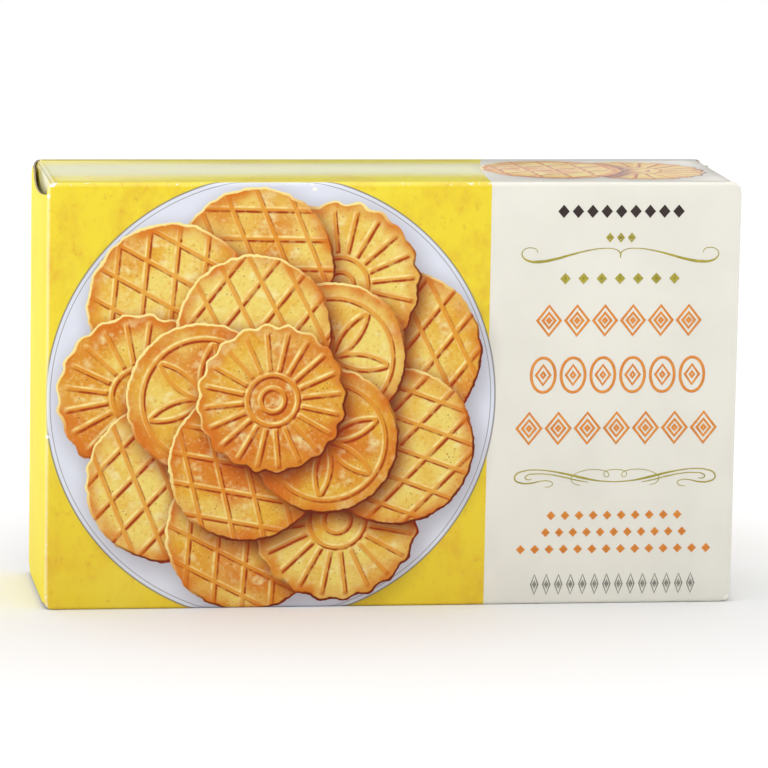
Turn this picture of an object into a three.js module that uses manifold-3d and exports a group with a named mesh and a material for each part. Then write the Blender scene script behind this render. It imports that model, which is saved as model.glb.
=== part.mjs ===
// A shut folding carton of biscuits, standing on its long bottom panel. Millimetres, +Z up.
// The front panel faces -Y, and the origin is the middle of the bottom panel.
// The carton can't be seen into, so it is one solid. Each end is closed by layers of board:
// the bent ends of the top and bottom panels, then the back panel's flap, then the front panel's flap.

import * as THREE from "three";
import { mergeVertices } from "three/addons/utils/BufferGeometryUtils.js";
import Module from "manifold-3d";

// Driving dimensions, outside the board
const WIDTH = 206; // along X, over the outer end flaps
const DEPTH = 58; // along Y, front panel to back panel
const HEIGHT = 126.5; // along Z
const BOARD = 0.5; // thickness of the paperboard

// Folds, as outside radii
const LONG_FOLD = 1.2; // front, top and bottom panels, along X
const HINGE_FOLD = 1.2; // front panel to outer flap, along Z
const BACK_FOLD = 1.0; // back panel to its flap, along Z
const DUST_FOLD = 1.8; // top and bottom panels to their dust flaps, along Y
const SEAM_EDGE = 0.2; // raw edge of the back panel, over the glued seam
const ARC_STEPS = 6; // chords in each quarter turn

// Layers of each end, as distances of their outer faces from the middle of the carton
const OUTER_FACE = WIDTH / 2;
const MIDDLE_FACE = OUTER_FACE - BOARD;
const DUST_FACE = MIDDLE_FACE - 2 * BOARD;
const LAYER_LAP = 0.2; // how far a layer reaches into the one below it

// Outer flap's outline
const FLAP_GAP = 1.2; // from its top and bottom edges to the carton's
const FREE_GAP = 2.5; // from its free edge to the back panel
const HINGE_RELIEF = 3.3; // its corners stop this far short at the hinge
const CORNER_RADIUS = 3; // corners of its free edge
const NOTCH_DEPTH = 7.5; // deepest point of the thumb notch, below the carton's top
const NOTCH_END = 9; // from the notch's rear end to the back panel
const NOTCH_REAR_PULL = 3; // how far the curve is drawn forward at the notch's rear end
const RELIEF_RUN = 8; // length of the relief along the bottom edge

// Pocket that the notch looks into, between the outer flap and the dust flap
const POCKET_DEPTH = 22;
const POCKET_FRONT = 3;
const POCKET_REAR = 6;

const PRINTED_BOARD = new THREE.MeshStandardMaterial({
  color: 0xf1d83f,
  roughness: 0.35,
  metalness: 0,
});

const wasm = await Module();
wasm.setup();

// A closed three.js geometry as a solid that can be joined and cut.
function solidOf(geometry) {
  const bare = geometry.clone();
  bare.deleteAttribute("normal");
  bare.deleteAttribute("uv");
  const merged = mergeVertices(bare, 1e-4);
  return new wasm.Manifold(
    new wasm.Mesh({
      numProp: 3,
      vertProperties: new Float32Array(merged.attributes.position.array),
      triVerts: new Uint32Array(merged.index.array),
    }),
  );
}

function geometryOf(solid) {
  const mesh = solid.getMesh();
  const geometry = new THREE.BufferGeometry();
  geometry.setAttribute("position", new THREE.BufferAttribute(mesh.vertProperties, 3));
  geometry.setIndex(new THREE.BufferAttribute(mesh.triVerts, 1));
  geometry.computeVertexNormals();
  return geometry;
}

// Unit vectors that an outline's two axes and its depth turn into.
const [X, Y, Z] = [0, 1, 2].map((axis) => new THREE.Vector3().setComponent(axis, 1));
const SIDE_VIEW = new THREE.Matrix4().makeBasis(Y, Z, X); // outline in Y and Z, depth along X
const FRONT_VIEW = new THREE.Matrix4().makeBasis(X, Z, Y.clone().negate()); // X and Z, depth along -Y
const TOP_VIEW = new THREE.Matrix4(); // X and Y, depth along Z

// The outline carried from one depth to another.
function prism(outline, view, from, to) {
  const geometry = new THREE.ExtrudeGeometry(outline, {
    depth: to - from,
    bevelEnabled: false,
    curveSegments: ARC_STEPS,
  });
  geometry.translate(0, 0, from).applyMatrix4(view);
  return solidOf(geometry);
}

// A rectangle whose corners have their own radii, counter-clockwise from the low left one.
function roundedRectangle(left, low, right, high, [lowLeft, lowRight, highRight, highLeft]) {
  const quarter = Math.PI / 2;
  const outline = new THREE.Shape();
  const corner = (a, b, radius, turns) => {
    const start = turns * quarter;
    outline.absarc(a, b, radius, start, start + quarter);
  };
  corner(left + lowLeft, low + lowLeft, lowLeft, 2);
  corner(right - lowRight, low + lowRight, lowRight, 3);
  corner(right - highRight, high - highRight, highRight, 0);
  corner(left + highLeft, high - highLeft, highLeft, 1);
  return outline;
}

// The tube of four panels, whose raw seam edge runs along the low back corner, with the dust flaps' bends.
function sleeve() {
  const [front, back] = [-DEPTH / 2, DEPTH / 2];
  const girth = roundedRectangle(front, 0, back, HEIGHT, [LONG_FOLD, SEAM_EDGE, LONG_FOLD, LONG_FOLD]);
  const bends = roundedRectangle(-DUST_FACE, 0, DUST_FACE, HEIGHT, Array(4).fill(DUST_FOLD));
  const tube = prism(girth, SIDE_VIEW, -DUST_FACE, DUST_FACE);
  return tube.intersect(prism(bends, FRONT_VIEW, front, back));
}

// The carton's plan, which rounds each flap where it folds off its panel.
function plan() {
  const folds = [HINGE_FOLD, HINGE_FOLD, BACK_FOLD, BACK_FOLD];
  const outline = roundedRectangle(-OUTER_FACE, -DEPTH / 2, OUTER_FACE, DEPTH / 2, folds);
  return prism(outline, TOP_VIEW, 0, HEIGHT);
}

// The front panel's flap: hinged at the front, notched at the top, free at the back.
function outerFlapOutline() {
  const [hinge, free] = [-DEPTH / 2, DEPTH / 2 - FREE_GAP];
  const [low, high] = [FLAP_GAP, HEIGHT - FLAP_GAP];
  const notchEnd = DEPTH / 2 - NOTCH_END;
  const notchLow = HEIGHT - NOTCH_DEPTH;
  const outline = new THREE.Shape();
  outline.moveTo(hinge, HINGE_RELIEF);
  outline.quadraticCurveTo(hinge + RELIEF_RUN / 2, low, hinge + RELIEF_RUN, low);
  outline.lineTo(free - CORNER_RADIUS, low);
  outline.absarc(free - CORNER_RADIUS, low + CORNER_RADIUS, CORNER_RADIUS, -Math.PI / 2, 0);
  outline.lineTo(free, high - CORNER_RADIUS);
  outline.absarc(free - CORNER_RADIUS, high - CORNER_RADIUS, CORNER_RADIUS, 0, Math.PI / 2);
  outline.lineTo(notchEnd, high);
  const rearPull = notchEnd - NOTCH_REAR_PULL;
  outline.bezierCurveTo(rearPull, notchLow, 0, notchLow, hinge, HEIGHT - HINGE_RELIEF);
  return outline;
}

// The back panel's flap and the front panel's board at the hinge, cut down to leave the pocket.
function middleLayerOutline() {
  const [front, back] = [-DEPTH / 2, DEPTH / 2];
  const high = HEIGHT - FLAP_GAP;
  const pocketLow = HEIGHT - POCKET_DEPTH;
  const outline = new THREE.Shape();
  outline.moveTo(front, HINGE_RELIEF);
  outline.lineTo(front + RELIEF_RUN, FLAP_GAP);
  outline.lineTo(back, FLAP_GAP);
  outline.lineTo(back, high);
  outline.lineTo(back - POCKET_REAR, high);
  outline.lineTo(back - POCKET_REAR, pocketLow);
  outline.lineTo(front + POCKET_FRONT, pocketLow);
  outline.lineTo(front + POCKET_FRONT, HEIGHT - HINGE_RELIEF);
  outline.lineTo(front, HEIGHT - HINGE_RELIEF);
  return outline;
}

// Both ends' copies of one layer, from its outer face into the layer below.
function endLayers(outline, outerFace, innerFace) {
  const right = prism(outline, SIDE_VIEW, innerFace - LAYER_LAP, outerFace);
  const left = prism(outline, SIDE_VIEW, -outerFace, -innerFace + LAYER_LAP);
  return right.add(left);
}

function carton() {
  const middle = endLayers(middleLayerOutline(), MIDDLE_FACE, DUST_FACE);
  const outer = endLayers(outerFlapOutline(), OUTER_FACE, MIDDLE_FACE);
  const solid = sleeve().add(middle.add(outer).intersect(plan()));
  const mesh = new THREE.Mesh(geometryOf(solid), PRINTED_BOARD);
  mesh.name = "carton";
  return mesh;
}

const group = new THREE.Group();
group.add(carton());

export default group;
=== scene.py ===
"""Looks of a shut biscuit carton: one die-cut sheet of printed, coated paperboard, folded up and glued.

The blank is drawn flat, as a carton maker draws it, and Geometry Nodes fold it along its creases and give it
the thickness of the board. The print is made of fields of colour and simple shapes on the blank's own flat
coordinates, so that it runs on round the folds. Lengths are in metres unless a name says millimetres.
"""

import logging
import math
import random
from collections.abc import Iterator, Mapping, Sequence
from dataclasses import dataclass
from enum import Enum, IntEnum

import bmesh
import bpy
import numpy as np
from bpy.types import ID, Material, Node, NodeSocket, NodeTree, Object, bpy_prop_collection
from mathutils import Matrix, Vector


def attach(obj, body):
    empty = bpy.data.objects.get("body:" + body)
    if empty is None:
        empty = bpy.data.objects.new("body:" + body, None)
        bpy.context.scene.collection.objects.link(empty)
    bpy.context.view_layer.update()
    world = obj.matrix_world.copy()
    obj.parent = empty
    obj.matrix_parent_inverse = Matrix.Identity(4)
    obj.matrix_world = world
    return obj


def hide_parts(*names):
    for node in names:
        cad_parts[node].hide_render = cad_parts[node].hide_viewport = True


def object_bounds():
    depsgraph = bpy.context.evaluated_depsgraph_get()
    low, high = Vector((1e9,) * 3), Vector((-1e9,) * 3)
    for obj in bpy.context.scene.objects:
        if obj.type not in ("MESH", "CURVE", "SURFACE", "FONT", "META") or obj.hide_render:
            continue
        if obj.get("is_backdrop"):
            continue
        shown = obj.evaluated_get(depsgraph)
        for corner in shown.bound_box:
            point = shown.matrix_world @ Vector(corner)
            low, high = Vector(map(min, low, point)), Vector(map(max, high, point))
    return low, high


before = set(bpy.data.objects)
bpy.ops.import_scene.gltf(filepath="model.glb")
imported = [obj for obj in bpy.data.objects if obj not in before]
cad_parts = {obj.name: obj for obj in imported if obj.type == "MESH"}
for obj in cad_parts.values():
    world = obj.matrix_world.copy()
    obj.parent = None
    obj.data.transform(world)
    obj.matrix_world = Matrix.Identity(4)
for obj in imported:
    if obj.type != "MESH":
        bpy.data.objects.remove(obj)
CAD_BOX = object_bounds()

log = logging.getLogger("carton")

MM = 0.001
QUARTER = math.pi / 2
MERGE = 0.001 * MM
SHARP = math.radians(40)
BODY = "root"
NODE = "carton"

GEOMETRY_TREE = "GeometryNodeTree"
SHADER_TREE = "ShaderNodeTree"
GEOMETRY = {"Geometry": "Geometry"}
CIRCLE = "GeometryNodeCurvePrimitiveCircle"

Triple = tuple[float, float, float]


class Panel(IntEnum):
    """What a face of the folded sheet shows."""

    FRONT = 0
    TOP = 1
    BACK = 2
    BOTTOM = 3
    BARE = 4


class Data(Enum):
    """Kinds of value that a mix node blends, with the places of its sockets."""

    FLOAT = (2, 3, 0)
    VECTOR = (4, 5, 1)
    RGBA = (6, 7, 2)


@dataclass(frozen=True)
class Ink:
    """A colour as it looks on the pack, in 8-bit sRGB."""

    red: int
    green: int
    blue: int

    @property
    def linear(self) -> tuple[float, float, float, float]:
        """The colour as the renderer counts it, with full alpha."""
        return (*(self._linear(part / 255) for part in (self.red, self.green, self.blue)), 1.0)

    @staticmethod
    def _linear(part: float) -> float:
        """One sRGB channel made linear."""
        return part / 12.92 if part <= 0.04045 else ((part + 0.055) / 1.055) ** 2.4


# Node trees


class Wire:
    """An output of a node. Plain arithmetic on it, and its methods, add nodes to its graph."""

    def __init__(self, graph: "Graph", socket: NodeSocket) -> None:
        """Keep the graph and the output."""
        self.graph = graph
        self.socket = socket

    def __add__(self, other: "Value") -> "Wire":
        """This number and another one together."""
        return self.graph.math("ADD", self, other)

    def __sub__(self, other: "Value") -> "Wire":
        """This number less another one."""
        return self.graph.math("SUBTRACT", self, other)

    def __rsub__(self, other: float) -> "Wire":
        """A plain number less this one."""
        return self.graph.math("SUBTRACT", other, self)

    def __mul__(self, other: "Value") -> "Wire":
        """This number times another one."""
        return self.graph.math("MULTIPLY", self, other)

    def __truediv__(self, other: "Value") -> "Wire":
        """This number divided by another one."""
        return self.graph.math("DIVIDE", self, other)

    def __neg__(self) -> "Wire":
        """This number with its sign turned."""
        return self * -1.0

    def __abs__(self) -> "Wire":
        """This number without its sign."""
        return self.graph.math("ABSOLUTE", self)

    def __gt__(self, other: "Value") -> "Wire":
        """1 where this number is the greater one, and else 0."""
        return self.graph.math("GREATER_THAN", self, other)

    def __lt__(self, other: "Value") -> "Wire":
        """1 where this number is the smaller one, and else 0."""
        return self.graph.math("LESS_THAN", self, other)

    def ease(self, start: "Value", end: "Value", low: float = 0.0, high: float = 1.0) -> "Wire":
        """Go smoothly from low to high while this number goes from start to end."""
        limits = {"Value": self, "From Min": start, "From Max": end, "To Min": low, "To Max": high}
        return self.graph.wire("ShaderNodeMapRange", limits, "Result", interpolation_type="SMOOTHSTEP")

    def split(self) -> tuple["Wire", ...]:
        """This vector's three numbers."""
        parts = self.graph.node("ShaderNodeSeparateXYZ", {0: self}).outputs
        return tuple(Wire(self.graph, part) for part in parts)

    def noise(self, scale: float, detail: float = 2.0, roughness: float = 0.5) -> "Wire":
        """A smooth random field from 0 to 1 over this place, with scale in waves for each unit."""
        inputs = {"Vector": self, "Scale": scale, "Detail": detail, "Roughness": roughness}
        return self.graph.wire("ShaderNodeTexNoise", inputs, "Fac")


Value = float | int | str | Sequence[float] | Wire | ID


class Graph:
    """Adds nodes to one node tree and joins them."""

    def __init__(self, tree: NodeTree) -> None:
        """Take the tree that the nodes go into."""
        self.tree = tree
        self.given: dict[str, Wire] = {}

    @classmethod
    def group(cls, name: str, kind: str, inputs: Mapping[str, str], outputs: Mapping[str, str]) -> "Graph":
        """Start a node group.

        Args:
            name: the group's name.
            kind: the tree's type, for geometry or shading.
            inputs: each input's name with its kind of socket, such as Float.
            outputs: the same for the outputs.

        Returns:
            The group's graph, whose inputs are in given.
        """
        graph = cls(bpy.data.node_groups.new(name, kind))
        for in_out, sockets in (("INPUT", inputs), ("OUTPUT", outputs)):
            for label, socket in sockets.items():
                graph.tree.interface.new_socket(name=label, in_out=in_out, socket_type=f"NodeSocket{socket}")
        entry = graph.node("NodeGroupInput")
        graph.given = {label: Wire(graph, entry.outputs[label]) for label in inputs}
        return graph

    def finish(self, **outputs: Value) -> NodeTree:
        """Feed the group's outputs and hand over its tree."""
        self.node("NodeGroupOutput", outputs)
        return self.tree

    def node(self, kind: str, inputs: Mapping[str | int, Value] | None = None, **settings: object) -> Node:
        """Add one node.

        Args:
            kind: the node's type name.
            inputs: what goes into its sockets, by name or place.
            settings: its other properties.

        Returns:
            The new node.
        """
        made = self.tree.nodes.new(kind)
        for name, value in settings.items():
            setattr(made, name, value)
        for key, value in (inputs or {}).items():
            self.feed(made.inputs[key], value)
        return made

    def feed(self, socket: NodeSocket, value: Value) -> None:
        """Link a socket to a wire, or set its plain value.

        Args:
            socket: an input of a node.
            value: what goes into it.
        """
        if isinstance(value, Wire):
            self.tree.links.new(value.socket, socket)
        else:
            socket.default_value = value

    def wire(
        self,
        kind: str,
        inputs: Mapping[str | int, Value] | None = None,
        output: str | int = 0,
        **settings: object,
    ) -> Wire:
        """Add one node and take one of its outputs."""
        return Wire(self, self.node(kind, inputs, **settings).outputs[output])

    def use(self, group: NodeTree, inputs: Mapping[str, Value]) -> list[Wire]:
        """Add a node that runs another group, and take all of its outputs."""
        kind = "GeometryNodeGroup" if group.bl_idname == GEOMETRY_TREE else "ShaderNodeGroup"
        return [Wire(self, output) for output in self.node(kind, inputs, node_tree=group).outputs]

    def math(self, operation: str, *values: Value, clamp: bool = False) -> Wire:
        """One step of arithmetic on numbers."""
        return self.wire("ShaderNodeMath", dict(enumerate(values)), operation=operation, use_clamp=clamp)

    def vector(self, operation: str, *values: Value) -> Wire:
        """One step of arithmetic on vectors, which gives a number for a length or a product."""
        output = "Value" if operation in ("LENGTH", "DISTANCE", "DOT_PRODUCT") else "Vector"
        return self.wire("ShaderNodeVectorMath", dict(enumerate(values)), output, operation=operation)

    def scaled(self, vector: Value, scale: Value) -> Wire:
        """A vector times a number."""
        return self.wire("ShaderNodeVectorMath", {0: vector, "Scale": scale}, operation="SCALE")

    def mix(self, data: Data, amount: Value, low: Value, high: Value) -> Wire:
        """Blend two values of one kind."""
        first, second, result = data.value
        return self.wire("ShaderNodeMix", {0: amount, first: low, second: high}, result, data_type=data.name)

    def tint(self, amount: Value, colour: Value, ink: Ink) -> Wire:
        """Lay some of an ink over a colour."""
        return self.mix(Data.RGBA, amount, colour, ink.linear)

    def join(self, x: Value, y: Value, z: Value = 0.0) -> Wire:
        """Three numbers as a vector."""
        return self.wire("ShaderNodeCombineXYZ", {0: x, 1: y, 2: z})

    def moved(self, geometry: Wire, offset: Wire) -> Wire:
        """Geometry with each point moved by its own offset."""
        return self.wire("GeometryNodeSetPosition", {"Geometry": geometry, "Offset": offset})

    def joined(self, *parts: Wire) -> Wire:
        """Join several geometries.

        Args:
            parts: the geometries.

        Returns:
            All of them as one.
        """
        made = self.node("GeometryNodeJoinGeometry")
        for part in parts:
            self.feed(made.inputs[0], part)
        return Wire(self, made.outputs[0])

    def object_place(self) -> Wire:
        """A piece's own coordinates, in millimetres."""
        return self.scaled(self.wire("ShaderNodeTexCoord", output="Object"), 1 / MM)


def numbers(*names: str) -> dict[str, str]:
    """Names of a group's sockets that hold numbers."""
    return dict.fromkeys(names, "Float")


def put(name: str, data: ID) -> Object:
    """Make an object of some data and add it to the scene.

    Args:
        name: the object's name.
        data: its mesh, curve, lamp or camera.

    Returns:
        The new object.
    """
    made = bpy.data.objects.new(name, data)
    bpy.context.scene.collection.objects.link(made)
    return made


def read(items: bpy_prop_collection, name: str, width: int = 1, kind: type = int) -> np.ndarray:
    """Read one property of each of a mesh's items.

    Args:
        items: the items, such as the mesh's faces.
        name: the property.
        width: how many numbers each item has.
        kind: the kind of number.

    Returns:
        All the numbers in one row.
    """
    values = np.empty(len(items) * width, kind)
    items.foreach_get(name, values)
    return values


def settle(rough: Object, name: str, tree: NodeTree, values: Mapping[str, float]) -> Object:
    """Run a Geometry Nodes tree on an object and keep the result as a plain mesh.

    Args:
        rough: the object that the tree starts from, which is then removed.
        name: name of the finished piece.
        tree: the Geometry Nodes tree.
        values: the tree's inputs by name.

    Returns:
        The finished piece, at the origin, with no modifier and no empty material slot.
    """
    modifier = rough.modifiers.new(tree.name, "NODES")
    modifier.node_group = tree
    for item in tree.interface.items_tree:
        if item.in_out == "INPUT" and item.name in values:
            modifier[item.identifier] = values[item.name]
    depsgraph = bpy.context.evaluated_depsgraph_get()
    mesh = bpy.data.meshes.new_from_object(
        rough.evaluated_get(depsgraph), preserve_all_data_layers=True, depsgraph=depsgraph
    )
    bpy.data.objects.remove(rough)
    if mesh.materials[0] is None:
        mesh.materials.pop(index=0)
    mesh.name = name
    return put(name, mesh)


# Sizes of the carton


@dataclass(frozen=True)
class CartonSizes:
    """Outside sizes of the carton, its folds and its flaps.

    Girth is the distance along the sheet round the carton. It is counted from the front panel's bottom edge,
    so that on the front panel it is the height.
    """

    width: float
    depth: float
    height: float
    board: float = 0.5 * MM
    long_fold: float = 1.2 * MM
    hinge_fold: float = 1.2 * MM
    back_fold: float = 1.0 * MM
    dust_fold: float = 1.8 * MM
    seam_fold: float = 0.8 * MM
    layer_gap: float = 0.05 * MM
    dust_face: float = 1.5 * MM
    seam_edge: float = 0.3 * MM
    glue_tab: float = 14.0 * MM
    back_flap: float = 30.0 * MM
    dust_flap: float = 35.0 * MM
    free_gap: float = 2.5 * MM
    bulge: float = 0.5 * MM
    top_bulge: float = 0.4 * MM
    flap_bulge: float = 0.8 * MM
    corner_radius: float = 2.8 * MM
    corner_reach: float = 9.0 * MM

    @property
    def half(self) -> float:
        """Half the width, where the outer flaps' faces are."""
        return self.width / 2

    @property
    def dust_crease(self) -> float:
        """Distance from the middle at which the top and bottom panels start to bend."""
        return self.half - self.dust_face - self.dust_fold

    @property
    def hinge_crease(self) -> float:
        """Distance from the middle at which the front panel starts to bend."""
        return self.half - self.hinge_fold

    @property
    def flap_length(self) -> float:
        """Length of an outer flap's flat part."""
        return self.depth - self.hinge_fold - self.free_gap

    @property
    def flap_middle(self) -> float:
        """Distance of an outer flap's middle line from the middle of the sheet."""
        return self.hinge_crease + self.hinge_fold * QUARTER + self.flap_length / 2

    @property
    def back_crease(self) -> float:
        """Distance from the middle at which the back panel starts to bend."""
        return self.half - self.board - 2 * self.layer_gap - self.back_fold

    @property
    def fold_run(self) -> float:
        """Length of sheet in one long fold."""
        return self.long_fold * QUARTER

    @property
    def bottom_crease(self) -> float:
        """Girth at which the front panel bends into the bottom panel."""
        return self.long_fold

    @property
    def top_crease(self) -> float:
        """Girth at which the front panel bends into the top panel."""
        return self.height - self.long_fold

    @property
    def top_start(self) -> float:
        """Girth at which the top panel's flat part starts."""
        return self.top_crease + self.fold_run

    @property
    def back_crease_girth(self) -> float:
        """Girth at which the top panel bends into the back panel."""
        return self.top_start + self.depth - 2 * self.long_fold

    @property
    def back_start(self) -> float:
        """Girth at which the back panel's flat part starts."""
        return self.back_crease_girth + self.fold_run

    @property
    def back_end(self) -> float:
        """Girth of the back panel's raw edge, over the seam."""
        return self.back_start + self.height - self.long_fold - self.seam_edge

    @property
    def back_foot(self) -> float:
        """Girth that the back panel would have at the floor."""
        return self.back_end + self.seam_edge

    @property
    def bottom_start(self) -> float:
        """Girth at which the bottom panel's flat part starts, next to the front panel."""
        return self.bottom_crease - self.fold_run

    @property
    def seam_crease(self) -> float:
        """Girth at which the bottom panel bends into the glue tab, inside the back panel."""
        reach = self.depth - self.long_fold - self.board - self.layer_gap - self.seam_fold
        return self.bottom_start - reach

    @property
    def tab_start(self) -> float:
        """Girth at which the glue tab's flat part starts."""
        return self.seam_crease - self.seam_fold * QUARTER

    @property
    def tab_end(self) -> float:
        """Girth of the glue tab's edge."""
        return self.tab_start - self.glue_tab


def fold_middle(crease: float, radius: float) -> float:
    """Middle of a fold on the blank in millimetres, from where it starts and its outside radius."""
    return (crease + radius * QUARTER / 2) / MM


# Flat blank


@dataclass(frozen=True)
class Flap:
    """An end flap of one panel, which folds in behind or over the others."""

    sizes: CartonSizes
    crease: float
    radius: float
    length: float
    steps: int = 14

    CLOSED = 5 / 6

    @property
    def bend(self) -> float:
        """Length of sheet in the flap's fold."""
        return self.radius * QUARTER

    def runs(self, arc_steps: int) -> Iterator[float]:
        """Distances past the crease at which the blank has a row of points."""
        yield from (self.bend * step / arc_steps for step in range(1, arc_steps + 1))
        yield from (self.bend + self.length * step / self.steps for step in range(1, self.steps + 1))

    def opened(self, run: float) -> float:
        """How far the cut beside the flap has opened, from 0 in most of the bend to 1 past it."""
        share = run / self.bend
        return min(1.0, max(0.0, (share - self.CLOSED) / (1 - self.CLOSED)))

    def cuts(self, run: float) -> tuple[float, float]:
        """How far the flap's two side edges are cut in.

        Args:
            run: distance past the crease.

        Returns:
            The cut on the low-girth side and on the high-girth side.
        """
        raise NotImplementedError


@dataclass(frozen=True)
class OuterFlap(Flap):
    """The front panel's flap, which shows: notched at the top, with round corners at its free edge."""

    flap_gap: float = 1.2 * MM
    foot_relief: float = 1.7 * MM
    hinge_relief: float = 3.3 * MM
    relief_run: float = 8.0 * MM
    corner_radius: float = 2.5 * MM
    notch_depth: float = 7.5 * MM
    notch_end: float = 9.0 * MM
    notch_rear_pull: float = 3.0 * MM

    NOTCH_POINTS = 40

    def place(self, run: float) -> float:
        """Where a run past the crease lies between the front and the back, as a Y coordinate."""
        return run - self.bend + self.radius - self.sizes.depth / 2

    def notch_edge(self, across: float) -> float:
        """Drop of the flap's top edge below the carton's top, along a cubic curve.

        Args:
            across: Y coordinate.

        Returns:
            The drop there.
        """
        half = self.sizes.depth / 2
        rear = half - self.notch_end
        pulls_y = (-half, 0.0, rear - self.notch_rear_pull, rear)
        pulls_drop = (self.hinge_relief, self.notch_depth, self.notch_depth, self.flap_gap)
        t = np.linspace(0.0, 1.0, self.NOTCH_POINTS)
        weights = ((1 - t) ** 3, 3 * (1 - t) ** 2 * t, 3 * (1 - t) * t**2, t**3)
        curve_y = sum(weight * pull for weight, pull in zip(weights, pulls_y))
        curve_drop = sum(weight * pull for weight, pull in zip(weights, pulls_drop))
        return float(np.interp(across, curve_y, curve_drop))

    def corner(self, run: float) -> float:
        """Extra cut that rounds the free edge's corners."""
        into = max(0.0, run - (self.bend + self.length - self.corner_radius))
        return self.corner_radius - math.sqrt(max(0.0, self.corner_radius**2 - into**2))

    def cuts(self, run: float) -> tuple[float, float]:
        """How far the bottom edge and the top edge are cut in, past the ends of the folds.

        Args:
            run: distance past the crease.

        Returns:
            The cut at the bottom and at the top.
        """
        left = max(0.0, 1 - run / self.relief_run)
        low = self.flap_gap + (self.foot_relief - self.flap_gap) * left**2
        high = self.notch_edge(self.place(run))
        rounding = self.corner(run) - self.sizes.long_fold
        opened = self.opened(run)
        return opened * (low + rounding), opened * (high + rounding)


@dataclass(frozen=True)
class BackFlap(Flap):
    """The back panel's flap, under the outer one, cut away below the notch."""

    side_gap: float = 1.5 * MM
    pocket: float = 20.0 * MM
    pocket_run: float = 6.0 * MM
    pocket_slope: float = 3.0
    taper: float = 8.0 * MM

    def cuts(self, run: float) -> tuple[float, float]:
        """How far the top edge and the bottom edge are cut in.

        Args:
            run: distance past the crease.

        Returns:
            The cut at the top and at the bottom.
        """
        gap = self.opened(run) * self.side_gap
        past = max(0.0, run - self.pocket_run)
        pocket = min(self.pocket, self.pocket_slope * past)
        return gap + pocket, gap + self.taper * past / (self.bend + self.length)


@dataclass(frozen=True)
class DustFlap(Flap):
    """The top or bottom panel's flap, innermost, a little narrower than the carton is deep."""

    side_gap: float = 0.8 * MM
    taper: float = 3.0 * MM

    def cuts(self, run: float) -> tuple[float, float]:
        """How far both side edges are cut in."""
        cut = min(1.0, run / self.bend) * self.side_gap + self.taper * run / (self.bend + self.length)
        return cut, cut


@dataclass(frozen=True)
class CornerCap(Flap):
    """The end of a long fold, pressed round into a closed corner."""

    def runs(self, arc_steps: int) -> Iterator[float]:
        """Distances past the crease, which stop just short of the corner's tip."""
        steps = round(arc_steps * self.CLOSED)
        yield from (self.bend * step / arc_steps for step in range(1, steps + 1))

    def cuts(self, run: float) -> tuple[float, float]:
        """A cap has no cuts."""
        return 0.0, 0.0


@dataclass(frozen=True)
class Strip:
    """A panel with its flaps, or the fold between two panels, as one band of the blank."""

    panel: Panel
    low: float
    high: float
    rows: int
    flap: Flap | None = None


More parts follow.
